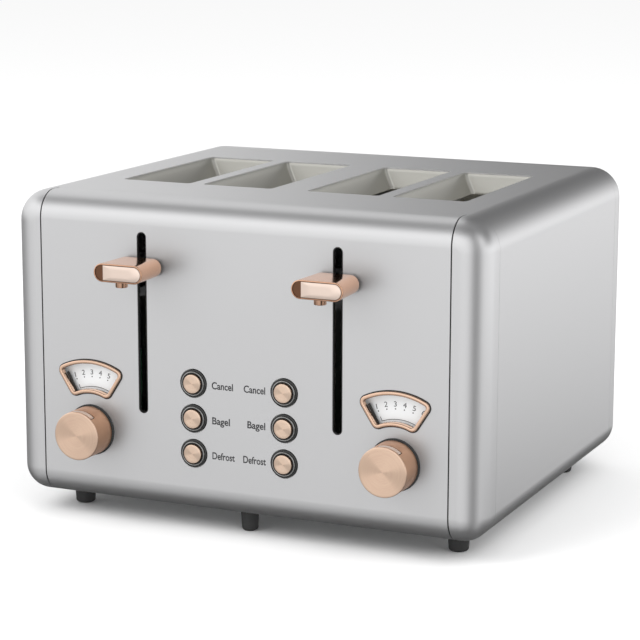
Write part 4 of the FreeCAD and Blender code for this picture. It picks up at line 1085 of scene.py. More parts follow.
    def wrap(self) -> Surface:
        """The wrap's section carried from front to rear, and its flat deck with the four bread slots."""
        low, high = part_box("main_wrap")
        along = np.linspace(low.y, high.y, 25)
        points, away = self.outline()
        tops = points[:, 1] > self.top - self.top_corner - 1e-6
        halves = []
        for side in Side:
            keep = points[:, 0] * side.sign > 0
            line, out = points[keep], away[keep]
            order = np.argsort(np.round(line[:, 1] / (0.001 * MM)), kind="stable")
            line, out = line[order], out[order]
            foot = side.sign * (self.right - self.bottom_corner - self.flange)
            deck = side.sign * (self.right - self.top_corner - 0.5 * MM)
            line = np.concatenate([[[foot, self.low]], line, [[deck, self.top]]])
            out = np.concatenate([[[0, -1]], out, [[0, 1]]])
            x, y = line[:, :1] + 0 * along, along[None, :] + 0 * line[:, :1]
            z = line[:, 1:] + 0 * along
            normals = np.stack([out[:, :1] + 0 * along, 0 * y, out[:, 1:] + 0 * along], -1)
            v = lengths(line)[:, None] + 0 * along
            halves.append(grid(np.stack([x, y, z], -1), np.stack([y, v], -1), normals))
        deck = self.right - self.top_corner - 0.5 * MM
        ones = np.ones(len(along))
        outline = np.concatenate([
            np.stack([deck * ones, along], -1),
            np.stack([-deck * ones, along[::-1]], -1),
        ])
        radii = [self.slot_corner] * 4
        holes = [
            rounded_loop(self.slot_width, self.slot_length, radii, 8)[0] + spot for spot in self.slot_spots()
        ]
        flat = fill(outline, holes, (0, 1), self.top, (0, 0, 1), grain=1)
        return joined([*halves, flat])

    @staticmethod
    def slot_spots() -> list[tuple[float, float]]:
        """The middles of the four bread slots, across and back."""
        spots = []
        for side in Side:
            back = float(middle(f"slot_throats_{side.value}")[1])
            for slot in Slot:
                spots.append((float(middle(f"bread_rack_{side.value}_{slot.value}")[0]), back))
        return spots

    def shadow_strip(self, side: Side) -> Surface:
        """Painted shade in a front seam: a black strip that lies under the seam's gap, from the bottom wall
        over the face to the top wall.
        """
        inset, back, tilt = self.rows()
        lie = self.skin + 0.05 * MM
        sag = np.sin(tilt)
        lower = np.stack([back + lie * np.cos(tilt), self.low + inset + lie * sag], -1)
        upper = np.stack([back + lie * np.cos(tilt), self.top - inset - lie * sag], -1)
        line = np.concatenate([lower[::-1], upper])
        out = np.concatenate([np.stack([-np.cos(tilt), -sag], -1)[::-1], np.stack([-np.cos(tilt), sag], -1)])
        across = side.sign * self.seam + np.array([-2.0, 2.0]) * MM
        x = across[None, :] + 0 * line[:, :1]
        y = self.front + line[:, :1] + 0 * across
        z = line[:, 1:] + 0 * across
        normals = np.stack([0 * x, out[:, :1] + 0 * across, out[:, 1:] + 0 * across], -1)
        uv = np.stack([lengths(line)[:, None] + 0 * across, x], -1)
        return grid(np.stack([x, y, z], -1), uv, normals)

    def build(self) -> None:
        """All the case's pieces."""
        make_piece("front_panel_skin", thickened(self.front_middle(), self.skin), STEEL, "housing",
                   ["front_panel"])
        for side in Side:
            make_piece(f"front_corner_{side.value}_skin", thickened(self.front_corner(side), self.skin), STEEL,
                       "housing", [f"front_corner_{side.value}"])
            # A black strip under each seam is painted shade in the gap.
            make_piece(f"seam_shadow_strip_{side.value}", thickened(self.shadow_strip(side), 0.6 * MM), BLACK, "housing")
        make_piece("rear_panel_skin", thickened(self.rear_pan(), self.skin), STEEL, "housing", ["rear_panel"])
        make_piece("main_wrap_skin", thickened(self.wrap(), self.skin), STEEL, "housing", ["main_wrap"])


@dataclass
class Throats:
    """Funnels that guide the bread from the deck's slots between the wire guards."""

    mouth: tuple[float, float] = (49.2 * MM, 128.8 * MM)
    neck: tuple[float, float] = (37.0 * MM, 124.0 * MM)
    corner: float = 3.0 * MM
    wall: float = 0.8 * MM
    flange: float = 4.0 * MM

    def funnel(self, spot: tuple[float, float], top: float, low: float) -> Surface:
        """One funnel: a flange, a rounded shoulder, a slope that narrows to the neck and a rolled lip.

        Each row is a rounded rectangle whose size goes smoothly from the mouth's to the neck's.

        Args:
            spot: the slot's middle.
            top: height of the flange.
            low: height of the lip.

        Returns:
            The closed surface.
        """
        depth = top - low - 0.6 * MM
        share = np.linspace(0, 1, 9)
        ease = share ** 1.15
        rows = [(self.mouth[0] + 2 * self.flange, self.mouth[1] + 2 * self.flange, top - 0.6 * MM)]
        rows += [(self.mouth[0] + 2 * self.flange, self.mouth[1] + 2 * self.flange, top)]
        rows += [(self.mouth[0] - 0.02 * MM, self.mouth[1] - 0.02 * MM, top)]
        for s, e in zip(share, ease):
            rows.append((self.mouth[0] + e * (self.neck[0] - self.mouth[0]) - 0.6 * MM,
                         self.mouth[1] + e * (self.neck[1] - self.mouth[1]) - 0.6 * MM,
                         top - 0.5 * MM - s * (depth - 0.5 * MM)))
        for turn in np.radians(np.linspace(30, 180, 6)):
            lip = 0.6 * MM
            rows.append((self.neck[0] - 0.6 * MM + 2 * lip * (1 - math.cos(turn)),
                         self.neck[1] - 0.6 * MM + 2 * lip * (1 - math.cos(turn)),
                         low + 0.6 * MM - lip * math.sin(turn)))
        for s, e in zip(share[::-1], ease[::-1]):
            rows.append((self.mouth[0] + e * (self.neck[0] - self.mouth[0]) + 1.9 * MM,
                         self.mouth[1] + e * (self.neck[1] - self.mouth[1]) + 1.9 * MM,
                         top - 0.7 * MM - s * (depth - 0.7 * MM)))
        loops = []
        for width, length, z in [*rows, rows[0]]:
            flat = rounded_loop(width, length, [self.corner + max(0.0, (width - self.mouth[0]) / 2)] * 4, 8)[0]
            loops.append(lifted(flat + spot, (0, 1), z))
        return loft(np.array(loops))

    def build(self, case: Case) -> None:
        """Both halves' funnels."""
        spots = case.slot_spots()
        for k, side in enumerate(Side):
            node = f"slot_throats_{side.value}"
            low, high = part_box(node)
            pair = [self.funnel(spot, high.z, low.z) for spot in spots[2 * k:2 * k + 2]]
            # The funnels' near black steel is painted shade in the slots.
            make_piece(f"{node}_formed", joined(pair), SHADED_THROAT_STEEL, "housing", [node])


@dataclass
class Lever:
    """One lever: the handle with its recessed face, the stub under it and the plate let into the face."""

    side: Side
    width: float = 33.3 * MM
    height: float = 11.5 * MM
    taper: float = 3.3 * MM
    rim: float = 0.8 * MM
    plate_start: float = 6.4 * MM
    plate_gap: float = 0.35 * MM
    stub: tuple[float, float, float] = (3.8 * MM, 3.3 * MM, 5.0 * MM)

    def handle(self, x: float, face: float, back: float, z: float) -> Surface:
        """Loops with round ends, from the recess floor over the rim and back along the taper.

        Args:
            x: middle of the handle.
            face: where its front lies.
            back: where its rear lies.
            z: its height.

        Returns:
            The closed surface.
        """
        turn = np.radians(np.linspace(0, 90, 5))
        rim, soft = self.rim, 0.35 * MM
        wide, tall = self.width - 2 * rim, self.height - 2 * rim
        rows = [(self.width - self.height, 0.0, rim), (wide, tall, rim), (wide, tall, 0.2 * MM),
                (wide + 0.3 * MM, tall + 0.3 * MM, 0.0)]
        rows += [(self.width - 2 * soft * (1 - math.sin(t)), self.height - 2 * soft * (1 - math.sin(t)),
                  soft * (1 - math.cos(t))) for t in turn]
        length = back - face
        for s in np.linspace(0.06, 0.97, 12):
            rows.append((self.width - s * self.taper, self.height, s * length))
        rows += [(self.width - self.taper - 0.8 * MM * (1 - math.cos(t)),
                  self.height - 0.8 * MM * (1 - math.cos(t)), length * 0.97 + length * 0.03 * math.sin(t))
                 for t in turn[1:]]
        rows += [(self.width - self.taper - self.height, 0.0, length)]
        loops = []
        for width, height, depth in rows:
            height = max(height, 0.001 * MM)
            flat = rounded_loop(width, height, [height / 2 * 0.995] * 4, 12)[0]
            loops.append(lifted(flat + (x, z), (0, 2), face + depth))
        return loft(np.array(loops))

    def floor(self, x: float, face: float, z: float) -> Surface:
        """Painted shade in the recess: a dark floor, a thin stadium that stays clear of the rim and shows as a
        dark line round the plate.
        """
        tall = self.height - 2 * self.rim - 0.1 * MM
        points, away = rounded_loop(self.width - 2 * self.rim - 0.1 * MM, tall, [tall / 2 * 0.995] * 4, 12)
        loops = []
        for inset, depth in ((tall / 2 * 0.98, -0.08 * MM), (0.0, -0.08 * MM), (0.0, -0.01 * MM),
                             (tall / 2 * 0.98, -0.01 * MM)):
            loops.append(lifted(points - inset * away + (x, z), (0, 2), face + self.rim + depth))
        middles = [np.broadcast_to(loop.mean(0), loop.shape) for loop in (loops[0], loops[-1])]
        return loft(np.array([middles[0], *loops, middles[1]]))

    def plate(self, x: float, face: float, z: float) -> Surface:
        """Plate with a square left end and a round right end, softened at its front edge."""
        tall = self.height - 2 * self.rim - 2 * self.plate_gap
        left = x - self.width / 2 + self.plate_start
        right = x + self.width / 2 - self.rim - self.plate_gap
        small = 0.25 * MM
        points, away = rounded_loop(right - left, tall, (tall / 2, small, small, tall / 2), 12)
        points = points + ((left + right) / 2, z)
        soft = 0.2 * MM
        rows = [(soft, 0.0), (0.3 * soft, 0.3 * soft), (0.0, soft), (0.0, self.rim)]
        loops = [lifted(points - inset * away, (0, 2), face + depth) for inset, depth in rows]
        centre = points.mean(0)
        first = [lifted(centre + (points - soft * away - centre) * s, (0, 2), face) for s in (0.0, 0.5)]
        last = [lifted(centre + (points - centre) * s, (0, 2), face + self.rim) for s in (0.5, 0.0)]
        return loft(np.array([*first, *loops, *last]))

    def build(self) -> None:
        """The handle with its stub, and the plate."""
        name = self.side.value
        body = f"lever_{name}"
        inlay_low, inlay_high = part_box(f"lever_inlay_{name}")
        x = Case.lever_x(self.side)
        z = (inlay_low.z + inlay_high.z) / 2
        face = inlay_low.y
        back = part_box(f"lever_handle_{name}")[1].y
        radius, drop, setback = self.stub
        bottom = -self.height / 2
        profile = np.array([(0, bottom - drop), (radius - 0.5 * MM, bottom - drop),
                            (radius - 0.15 * MM, bottom - drop + 0.15 * MM), (radius, bottom - drop + 0.5 * MM),
                            (radius, bottom + 1.5 * MM), (0, bottom + 1.5 * MM)])
        stub = lathe(profile, (x, face + setback, z), 48, upright=True)
        handle = self.handle(x, face, back, z)
        make_piece(f"lever_handle_{name}_formed", handle + stub, ROSE_SATIN, body, [f"lever_handle_{name}"])
        # The recess floor is painted shade.
        make_piece(f"lever_recess_shade_{name}", self.floor(x, face, z), ROSE_RECESS_SHADE, body)
        make_piece(f"lever_plate_{name}", self.plate(x, face, z), ROSE_PLATE, body, [f"lever_inlay_{name}"])


@dataclass
class Knob:
    """One browning knob, spun, with a pointer notch in its side, and the black washer behind it."""

    side: Side
    radius: float = 15.5 * MM
    depth: float = 18.1 * MM
    bevel: float = 0.4 * MM
    shaft: float = 3.0 * MM
    notch: tuple[float, float, float] = (0.9 * MM, 0.9 * MM, 5.0 * MM)
    notch_half: float = 30.0
    notch_turn: float = 12.0
    washer: tuple[float, float] = (16.4 * MM, 1.1 * MM)
    bore: float = 4.0 * MM

    def notched(self, r: Array, s: Array, t: Array) -> Array:
        """Distances from the axis, less the notch's depth inside its length and its turn."""
        depth, start, length = self.notch
        turn = np.degrees(np.angle(np.exp(1j * (t - math.radians(self.notch_turn)))))
        end = np.clip((self.notch_half - np.abs(turn)) / 0.7, 0, 1)
        middle_way = start + length / 2
        row = (np.abs(s - middle_way) < length / 2 - 0.01 * MM) & (r > self.radius - 0.01 * MM)
        return r - depth * end * row

    def patch(self, centre: Sequence[float], radius: float, grow: float) -> Surface:
        """A piece of cylinder in the notch, smaller than the notch all round.

        The point at turn t and way s is radius sin t across, s back and radius cos t up.

        Args:
            centre: where the knob's axis meets its face.
            radius: how far the patch is from the axis.
            grow: how much smaller it is than the notch.

        Returns:
            The sheet.
        """
        start, length = self.notch[1:]
        half = math.radians(self.notch_half) - grow / self.radius
        t = math.radians(self.notch_turn) + np.linspace(-half, half, 41)[:, None]
        s = np.linspace(start + grow, start + length - grow, 9)[None, :]
        across, up, back = radius * np.sin(t) + 0 * s, radius * np.cos(t) + 0 * s, s + 0 * t
        points = np.stack([across, back, up], -1) + np.asarray(centre)
        normals = np.stack([np.sin(t) + 0 * s, 0 * across, np.cos(t) + 0 * s], -1)
        return grid(points, np.stack([t * self.radius + 0 * s, back], -1), normals)

    def ring(self) -> Surface:
        """The washer: a flat ring with a soft outer edge."""
        name = self.side.value
        centre = middle(f"browning_knob_{name}")
        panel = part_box("front_panel")[0].y
        radius, thick = self.washer
        profile = np.array([
            (self.bore, -thick), (radius - 0.3 * MM, -thick), (radius - 0.08 * MM, 0.08 * MM - thick),
            (radius, 0.3 * MM - thick), (radius, 0), (self.bore, 0), (self.bore, -thick)])
        return lathe(profile, (centre[0], panel, centre[2]), 96)

    def build(self) -> None:
        """The knob with its shaft, and in its notch a pale pointer with a black liner round it, which is
        painted shade.
        """
        name = self.side.value
        low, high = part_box(f"browning_knob_{name}")
        centre = ((low.x + high.x) / 2, low.y, (low.z + high.z) / 2)
        start, length = self.notch[1:]
        corner = arc((self.radius - self.bevel, self.bevel), self.bevel, -90, 0, 5)
        rear = arc((self.radius - self.bevel, self.depth - self.bevel), self.bevel, 0, 90, 5)
        face = np.array([(0, 0), (0.4, 0), (2, 0), (4, 0), (7, 0), (11, 0), (14, 0)]) * MM
        groove = np.array([(self.radius, s) for s in (
            start, start + 0.06 * MM, start + 0.12 * MM, start + length / 2, start + length - 0.12 * MM,
            start + length - 0.06 * MM, start + length, start + length + 4 * MM)])
        shaft = np.array([(self.shaft, self.depth), (self.shaft, high.y - low.y), (0, high.y - low.y)])
        profile = np.concatenate([face, corner, groove, rear, shaft])
        knob = lathe(profile, centre, 240, shape=self.notched)
        make_piece(f"browning_knob_{name}_spun", knob, ROSE_SPUN, f"knob_{name}", [f"browning_knob_{name}"])
        # Black liner in the notch: painted shade round the pointer.
        floor = self.patch(centre, self.radius - self.notch[0] + 0.12 * MM, 0.05 * MM)
        make_piece(f"knob_notch_shade_{name}", thickened(floor, 0.08 * MM), BLACK, f"knob_{name}")
        pointer = self.patch(centre, self.radius - 0.15 * MM, 0.6 * MM)
        make_piece(f"knob_pointer_{name}", thickened(pointer, 0.5 * MM), ROSE_PLATE, f"knob_{name}")


@dataclass
class Gauge:
    """One browning gauge: the rose gold rim round the window, and what is printed on its dial."""

    side: Side
    fan: Fan = field(default_factory=Fan)
    # Outer edge, inner edge and height of the black line round the rim, which is painted shadow.
    rim_shadow_line: tuple[float, float, float] = (0.35 * MM, -1.0 * MM, 0.3 * MM)
    start: float = -0.3 * MM
    rim: float = 2.4 * MM
    proud: float = 1.6 * MM
    collar: float = 1.6 * MM
    dial_depth: float = 4.5 * MM
    numeral_radius: float = 36.5 * MM
    numeral_height: float = 3.4 * MM
    dot_radius: float = 33.4 * MM
    dot_size: float = 0.42 * MM
    tick_ends: tuple[float, float] = (26.9 * MM, 29.8 * MM)
    first_turn: float = -22.4
    step: float = 9.8

    def bezel(self, x: float, panel: float, z: float) -> Surface:
        """The rim's section carried round the fan: out from the panel, over a soft crown, into the window
        and back round the collar.

        Args:
            x: the knob's place across.
            panel: where the panel's face lies.
            z: the knob's height.

        Returns:
            The closed surface.
        """
        soft = 0.7 * MM
        far = self.start - self.rim
        crown_out = arc((self.start - soft, self.proud - soft), soft, 0, 90, 6)
        crown_in = arc((soft + far, self.proud - soft), soft, 90, 180, 6)
        section = np.concatenate([
            [(self.start, 0.02 * MM)], crown_out, crown_in,
            [(far, -self.collar), (far + 0.9 * MM, -self.collar), (far + 0.9 * MM, 0.02 * MM),
             (self.start, 0.02 * MM)],
        ])
        loops = [lifted(self.fan.outline(grow) + (x, z), (0, 2), panel - high) for grow, high in section]
        return loft(np.array(loops))

    def shadow_strip(self, x: float, panel: float, z: float) -> Surface:
        """Painted shadow round the rim: a black strip that shows as a line round its outer edge."""
        out, inside, high = self.rim_shadow_line
        section = [(out, 0.01 * MM), (out, high - 0.1 * MM), (out - 0.1 * MM, high), (inside, high),
                   (inside, 0.01 * MM), (out, 0.01 * MM)]
        return loft(np.array([
            lifted(self.fan.outline(grow) + (x, z), (0, 2), panel - rise) for grow, rise in section]))

    def band(self, x: float, y: float, z: float, radius: float, width: float, start: float,
             end: float) -> Surface:
        """A thin printed arc round the knob's axis, from one turn to another in degrees."""
        outer = arc((x, z), radius + width / 2, 90 - start, 90 - end, 40)
        inner = arc((x, z), radius - width / 2, 90 - start, 90 - end, 40)
        points = np.stack([lifted(outer, (0, 2), y), lifted(inner, (0, 2), y)])
        normals = np.zeros(points.shape)
        normals[..., 1] = -1
        return grid(points, points[..., [2, 0]], normals)

    def tick(self, x: float, y: float, z: float, turn: float, low: float, high: float) -> Surface:
        """A thin printed stroke along a radius."""
        a = math.radians(turn)
        out, side = np.array([math.sin(a), math.cos(a)]), np.array([math.cos(a), -math.sin(a)]) * 0.19 * MM
        corners = np.array([[out * low - side, out * low + side], [out * high - side, out * high + side]])
        points = lifted(corners.reshape(-1, 2) + (x, z), (0, 2), y).reshape(2, 2, 3)
        normals = np.zeros(points.shape)
        normals[..., 1] = -1
        return grid(points, points[..., [2, 0]], normals)

    def printing(self, x: float, panel: float, z: float) -> Surface:
        """Numerals 1 to 6 with a dot under each, the bracket that shows the range, and a second thin dark arc
        inside the bracket.
        """
        y = panel + self.dial_depth - 0.04 * MM
        marks = []
        for k in range(6):
            turn = self.first_turn + k * self.step
            across, up = polar(self.numeral_radius, turn)
            marks.append(lettering(str(k + 1), self.numeral_height, 1.08, (x + across, y, z + up), "CENTER",
                                   turn * 0.6))
            across, up = polar(self.dot_radius, turn)
            dot = arc((x + across, z + up), self.dot_size, 0, 330, 12)
            marks.append(fill(dot, [], (0, 2), y, (0, -1, 0), grain=2))
        last = self.first_turn + 5 * self.step
        marks.append(self.band(x, y, z, 27.0 * MM, 0.38 * MM, self.first_turn, last))
        marks.append(self.tick(x, y, z, self.first_turn, *self.tick_ends))
        marks.append(self.tick(x, y, z, last, *self.tick_ends))
        marks.append(self.band(x, y - 0.01 * MM, z, 25.2 * MM, 0.45 * MM, 2.0, last + 1.0))
        return joined(marks)

    def build(self) -> None:
        """The rim and the printing."""
        name = self.side.value
        centre = middle(f"browning_knob_{name}")
        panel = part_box("front_panel")[0].y
        make_piece(f"gauge_bezel_{name}_formed", self.bezel(centre[0], panel, centre[2]), ROSE_POLISHED,
                   "housing", [f"gauge_bezel_{name}"])
        # The black line round the rim is painted shadow.
        make_piece(f"gauge_rim_shadow_{name}", self.shadow_strip(centre[0], panel, centre[2]), BLACK, "housing")
        printing = thickened(self.printing(centre[0], panel, centre[2]), 0.035 * MM)
        make_piece(f"gauge_printing_{name}", printing, PRINT, "housing")


@dataclass
class Buttons:
    """The six push buttons, their bright rings and the words beside them."""

    radius: float = 5.95 * MM
    proud: float = 2.6 * MM
    body: float = 2.0 * MM
    stem: tuple[float, float] = (3.5 * MM, 9.0 * MM)
    ring_bore: float = 6.85 * MM
    ring_radius: float = 7.75 * MM
    ring_proud: float = 1.7 * MM
    # Bore and height of the black sleeve, which is painted shade in the gap round the cap.
    sleeve: tuple[float, float] = (6.2 * MM, 1.3 * MM)
    seat_radius: float = 8.9 * MM
    seat_proud: float = 0.5 * MM
    flange: float = 11.0 * MM
    word_x: float = 18.5 * MM
    word_height: float = 4.6 * MM
    squeeze: dict[Job, float] = field(default_factory=lambda: {
        Job.CANCEL: 0.86, Job.BAGEL: 0.96, Job.DEFROST: 0.79})
    word_weight: float = 0.02

    def cap(self, spot: Array, panel: float) -> Surface:
        """A cap turned about its axis: flat face, soft edge, body and stem."""
        soft = 0.35 * MM
        edge = arc((self.radius - soft, soft - self.proud), soft, -90, 0, 6)
        face = np.array([(0, -self.proud), (0.2 * MM, -self.proud), (1.5 * MM, -self.proud),
                         (4 * MM, -self.proud)])
        radius, length = self.stem
        rest = np.array([(self.radius, self.body), (radius, self.body), (radius, length), (0, length)])
        return lathe(np.concatenate([face, edge, rest]), (spot[0], panel, spot[2]), 96)

    def ring(self, spot: Array, panel: float, skin: float) -> Surface:
        """A ring turned about its axis: bore, rolled rim, neck and a flange behind the panel.

        The rolled rim is half an ellipse as wide as the ring and 0.6 mm high.
        """
        half = (self.ring_radius - self.ring_bore) / 2
        round_over = np.radians(np.linspace(180, 360, 9))
        crown = np.stack([self.ring_bore + half + half * np.cos(round_over),
                          0.6 * MM - self.ring_proud + 0.6 * MM * np.sin(round_over)], -1)
        rest = np.array([(self.ring_radius, skin), (self.flange, skin), (self.flange, skin + 1 * MM),
                         (self.ring_bore, skin + 1 * MM)])
        profile = np.concatenate([crown, rest])
        return lathe(np.concatenate([profile, profile[:1]]), (spot[0], panel, spot[2]), 96)

    def seat_and_shade_sleeve(self, spot: Array, panel: float) -> Surface:
        """The black ring that a bright ring stands on, and a black sleeve inside the bright ring that is
        painted shade in the gap round the cap.
        """
        inside, outside, high = self.ring_radius, self.seat_radius, self.seat_proud
        profile = np.array([(inside, 0), (inside, -high), (outside - 0.3 * MM, -high),
                            (outside - 0.08 * MM, 0.08 * MM - high), (outside, 0.3 * MM - high), (outside, 0),
                            (inside, 0)])
        bore, rise = self.sleeve
        rim = self.ring_bore - 0.02 * MM
        sleeve = np.array([(bore, 1.2 * MM), (bore, 0.2 * MM - rise), (bore + 0.2 * MM, -rise), (rim, -rise),
                           (rim, 1.2 * MM), (bore, 1.2 * MM)])
        at = (spot[0], panel, spot[2])
        return lathe(profile, at, 96) + lathe(sleeve, at, 96)

    def build(self, case: Case) -> None:
        """Caps, rings and words."""
        rings, seats_and_shade_sleeves, words = [], [], []
        for side in Side:
            for job in Job:
                body = f"button_{job.value}_{side.value}"
                spot = middle(body)
                make_piece(f"{body}_spun", self.cap(spot, case.front), ROSE_CAP, body, [body])
                rings.append(self.ring(spot, case.front, case.skin))
                seats_and_shade_sleeves.append(self.seat_and_shade_sleeve(spot, case.front))
                at = (side.sign * self.word_x, case.front - 0.045 * MM, spot[2])
                align = "LEFT" if side is Side.LEFT else "RIGHT"
                words.append(lettering(job.value.title(), self.word_height, self.squeeze[job], at, align,
                                       weight=self.word_weight))
        make_piece("button_rings_turned", joined(rings), RING, "housing", ["button_rings"])
        # Black rings under the bright rings, and black sleeves that are painted shade round the caps.
        make_piece("button_seats_and_shade_sleeves_turned", joined(seats_and_shade_sleeves), BLACK, "housing")
        make_piece("button_words", thickened(joined(words), 0.035 * MM), PRINT, "housing")


@dataclass
class Works:
    """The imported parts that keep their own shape, and what each is made of."""

    finishes: dict[str, Finish] = field(default_factory=lambda: {
        "lever_carriage": ZINC, "bread_rack": WIRE, "return_spring": BRIGHT, "lever_slot_trim": BLACK,
        "guard": WIRE, "chassis": ZINC, "guide_rods": BRIGHT, "heater": MICA, "electromagnet": COPPER,
        "control_board": BOARD, "gauge_dial": DIAL, "gauge_needle": NEEDLE, "base_plate": ZINC,
        "feet": RUBBER, "bottom_screws": BRIGHT, "cord_gland": BLACK, "knob_washers": RUBBER,
        "crumb_tray": ZINC,
    })

    def build(self, nodes: dict[str, bpy.types.Object]) -> None:
        """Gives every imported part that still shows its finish."""
        for name, part in nodes.items():
            finish = next((f for key, f in self.finishes.items() if name.startswith(key)), None)
            if finish is None:
                continue
            part.data.materials.clear()
            part.data.materials.append(finish.material())
            LOG.info("%s: %s", name, finish.name)


# ---------------------------------------------------------------- studio


Stops = tuple[tuple[float, float], ...]


@dataclass
class Studio:
    """A plain pale room: white floor, a soft light tent, and the camera."""

    azimuth: float = 24.16
    elevation: float = 11.36
    roll: float = 0.128
    distance: float = 1.4991
    aim: tuple[float, float, float] = (-0.00775, 0.01285, 0.11384)
    lens: float = 125.88
    ring_low: Stops = (
        (-180, 0.35), (-168, 0.20), (-120, 0.15), (-96, 0.16), (-78, 0.24), (-64, 0.70), (-52, 0.80),
        (-32, 0.80), (-24, 0.94), (-18, 1.08), (20, 1.12), (31, 0.78), (40, 0.12), (58, 0.08), (69, 0.60),
        (80, 1.15), (136, 1.18), (152, 0.92), (162, 0.86), (172, 0.76), (180, 0.35))
    ring_high: Stops = (
        (-180, 0.20), (-168, 0.12), (-162, 0.25), (-152, 1.0), (-60, 0.95), (-20, 1.0), (20, 1.0),
        (31, 0.70), (40, 0.12), (58, 0.08), (69, 0.60), (80, 1.05), (136, 1.10), (164, 1.0), (172, 0.62),
        (180, 0.20))
    low_front: Stops = (
        (-90, 0.01), (-60, 0.02), (-54, 0.06), (-47, 0.50), (-20, 0.52), (-17, 0.54), (-15, 0.72),
        (-13, 0.90), (-11, 0.98), (-9, 1.06), (0, 1.08))
    low_back: Stops = (
        (-90, 0.02), (-24, 0.02), (-19, 0.06), (-16.5, 0.50), (-14, 0.84), (-11, 0.90), (-8.5, 0.92),
        (-6, 1.25), (-3, 1.42), (0, 1.42))
    high_front: Stops = (
        (0, 1.03), (12, 1.04), (22, 1.15), (33, 1.42), (42, 1.05), (49, 0.35), (55, 0.10), (68, 0.08),
        (90, 0.15))
    high_left: Stops = ((0, 0.9), (7, 1.0), (12, 1.0), (36, 0.86), (56, 0.86), (66, 0.75), (90, 0.30))
    high_back: Stops = (
        (0, 1.20), (6, 0.98), (11, 0.80), (15, 0.55), (19, 0.20), (24, 0.10), (60, 0.10), (90, 0.22))

    def curve(self, bench: Bench, value: bpy.types.NodeSocket, span: float,
              stops: Stops) -> bpy.types.NodeSocket:
        """A brightness for each angle in degrees, which runs from -span to span."""
        ramp = bench.node("ShaderNodeValToRGB")
        ramp.color_ramp.interpolation = "LINEAR"
        elements = ramp.color_ramp.elements
        elements.remove(elements[0])
        for k, (angle, glow) in enumerate(stops):
            spot = (angle + span) / (2 * span)
            stop = elements[0] if k == 0 else elements.new(spot)
            stop.position = spot
            stop.color = (glow / 2, glow / 2, glow / 2, 1)
        bench.link(value, ramp.inputs[0])
        return bench.math("MULTIPLY", ramp.outputs[0], 2.0)

    def between(self, bench: Bench, share: bpy.types.NodeSocket, first: bpy.types.NodeSocket,
                second: bpy.types.NodeSocket) -> bpy.types.NodeSocket:
        """A number that goes from the first to the second."""
        mixed = bench.node("ShaderNodeMix", data_type="FLOAT")
        for source, key in ((share, 0), (first, 2), (second, 3)):
            bench.link(source, mixed.inputs[key])
        return mixed.outputs[0]

    def tent(self) -> None:
        """The room's light: even white for matt things, and bright and dark zones for what shines.

        The zones are a brightness by height above the horizon times one by turn round the toaster, with one
        pair of curves below the horizon and one above it, for the front half and for the back.
        """
        world = bpy.data.worlds.new("tent")
        bpy.context.scene.world = world
        world.use_nodes = True
        world.cycles.sampling_method = "NONE"
        world.node_tree.nodes.clear()
        bench = Bench(world.node_tree)
        place = bench.node("ShaderNodeTexCoord")
        parts = bench.node("ShaderNodeSeparateXYZ")
        bench.link(place.outputs["Generated"], parts.inputs[0])
        x, y, z = parts.outputs
        rise = bench.math("ADD", bench.math("DIVIDE", bench.math("ARCSINE", z), math.pi), 0.5)
        turn = bench.math("ARCTAN2", x, bench.math("MULTIPLY", y, -1.0))
        around = bench.math("ADD", bench.math("DIVIDE", turn, 2 * math.pi), 0.5)
        behind = bench.ranged(y, -0.04, 0.14, 0.0, 1.0)
        leftward = bench.ranged(turn, math.radians(-162), math.radians(-150), 0.0, 1.0)
        leftward = bench.math("MULTIPLY", leftward, bench.ranged(x, -0.05, 0.05, 1.0, 0.0))
        low = self.between(bench, behind, self.curve(bench, rise, 90, self.low_front),
                           self.curve(bench, rise, 90, self.low_back))
        low = bench.math("MULTIPLY", low, self.curve(bench, around, 180, self.ring_low))
        ring = self.curve(bench, around, 180, self.ring_high)
        back = self.between(bench, leftward, self.curve(bench, rise, 90, self.high_back),
                            self.curve(bench, rise, 90, self.high_left))
        high = self.between(bench, behind, self.curve(bench, rise, 90, self.high_front), back)
        high = bench.math("MULTIPLY", high, ring)
        glow = self.between(bench, bench.ranged(z, -0.05, 0.05, 0.0, 1.0), low, high)
        shine, plain = bench.node("ShaderNodeBackground"), bench.node("ShaderNodeBackground")
        bench.link(glow, shine.inputs["Color"])
        plain.inputs["Color"].default_value = (1, 1, 1, 1)
        path = bench.node("ShaderNodeLightPath")
        chosen = bench.node("ShaderNodeMixShader")
        bench.link(path.outputs["Is Glossy Ray"], chosen.inputs[0])
        bench.link(plain.outputs[0], chosen.inputs[1])
        bench.link(shine.outputs[0], chosen.inputs[2])
        bench.link(chosen.outputs[0], bench.node("ShaderNodeOutputWorld").inputs[0])

    def lamp(self, name: str, size: float, power: float, at: Sequence[float]) -> None:
        """A soft square lamp that points at the toaster and isn't mirrored in it."""
        light = bpy.data.lights.new(name, "AREA")
        light.size, light.energy = size, power
        lamp = bpy.data.objects.new(name, light)
        bpy.context.scene.collection.objects.link(lamp)
        lamp.location = at
        lamp.rotation_euler = (Vector(self.aim) - Vector(at)).to_track_quat("-Z", "Y").to_euler()
        lamp.visible_glossy = False
        lamp.visible_camera = False

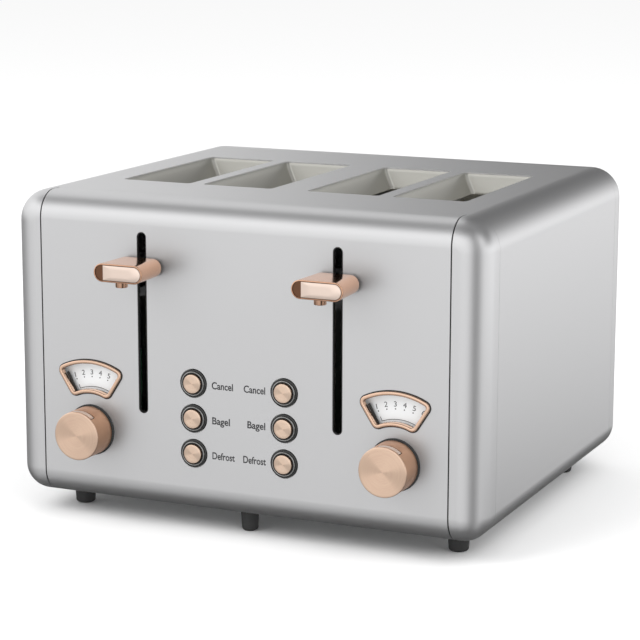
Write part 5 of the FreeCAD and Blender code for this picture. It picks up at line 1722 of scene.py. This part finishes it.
    def floor(self) -> None:
        """A wide pale floor."""
        span = np.linspace(-6.0, 6.0, 13)
        x, y = np.meshgrid(span, span, indexing="ij")
        mesh = bpy.data.meshes.new("floor")
        made = grid(np.stack([x, y, 0 * x], -1), np.stack([x, y], -1))
        mesh.from_pydata(made.points.tolist(), [], made.faces[0].tolist())
        material = bpy.data.materials.new("floor")
        material.use_nodes = True
        shader = material.node_tree.nodes["Principled BSDF"]
        shader.inputs["Base Color"].default_value = (0.93, 0.93, 0.93, 1)
        shader.inputs["Roughness"].default_value = 0.9
        shader.inputs["Specular IOR Level"].default_value = 0.0
        mesh.materials.append(material)
        floor = bpy.data.objects.new("floor", mesh)
        bpy.context.scene.collection.objects.link(floor)
        floor.visible_glossy = False

    def camera(self) -> None:
        """The camera, looking at the toaster from the front and a little above."""
        a, e = math.radians(self.azimuth), math.radians(self.elevation)
        back = Vector((math.sin(a) * math.cos(e), -math.cos(a) * math.cos(e), math.sin(e)))
        data = bpy.data.cameras.new("camera")
        data.lens, data.sensor_width = self.lens, 36.0
        camera = bpy.data.objects.new("camera", data)
        bpy.context.scene.collection.objects.link(camera)
        camera.location = Vector(self.aim) + back * self.distance
        turn = (-back).to_track_quat("-Z", "Y").to_matrix().to_4x4()
        camera.rotation_euler = turn.to_euler()
        camera.rotation_euler.rotate_axis("Z", math.radians(self.roll))
        bpy.context.scene.camera = camera

    def build(self) -> None:
        """Camera, light and floor."""
        self.camera()
        self.tent()
        self.floor()
        self.lamp("key", 1.6, 34.0, (-1.2, -1.8, 1.9))
        self.lamp("fill", 2.0, 24.0, (1.8, -0.6, 1.6))
        bpy.context.scene.view_settings.view_transform = "Standard"


def main() -> None:
    """Builds the toaster's looks in order."""
    logging.basicConfig(level=logging.INFO, format="%(name)s %(message)s")
    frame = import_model()
    Studio().build()
    case = Case()
    case.build()
    Throats().build(case)
    knobs = [Knob(side) for side in Side]
    for side, knob in zip(Side, knobs):
        Lever(side).build()
        knob.build()
        Gauge(side).build()
    make_piece("knob_washers_moulded", joined([knob.ring() for knob in knobs]), RUBBER, "housing",
               ["knob_washers"])
    Buttons().build(case)
    Works().build(frame["nodes"])


if __name__ == "__main__":
    main()
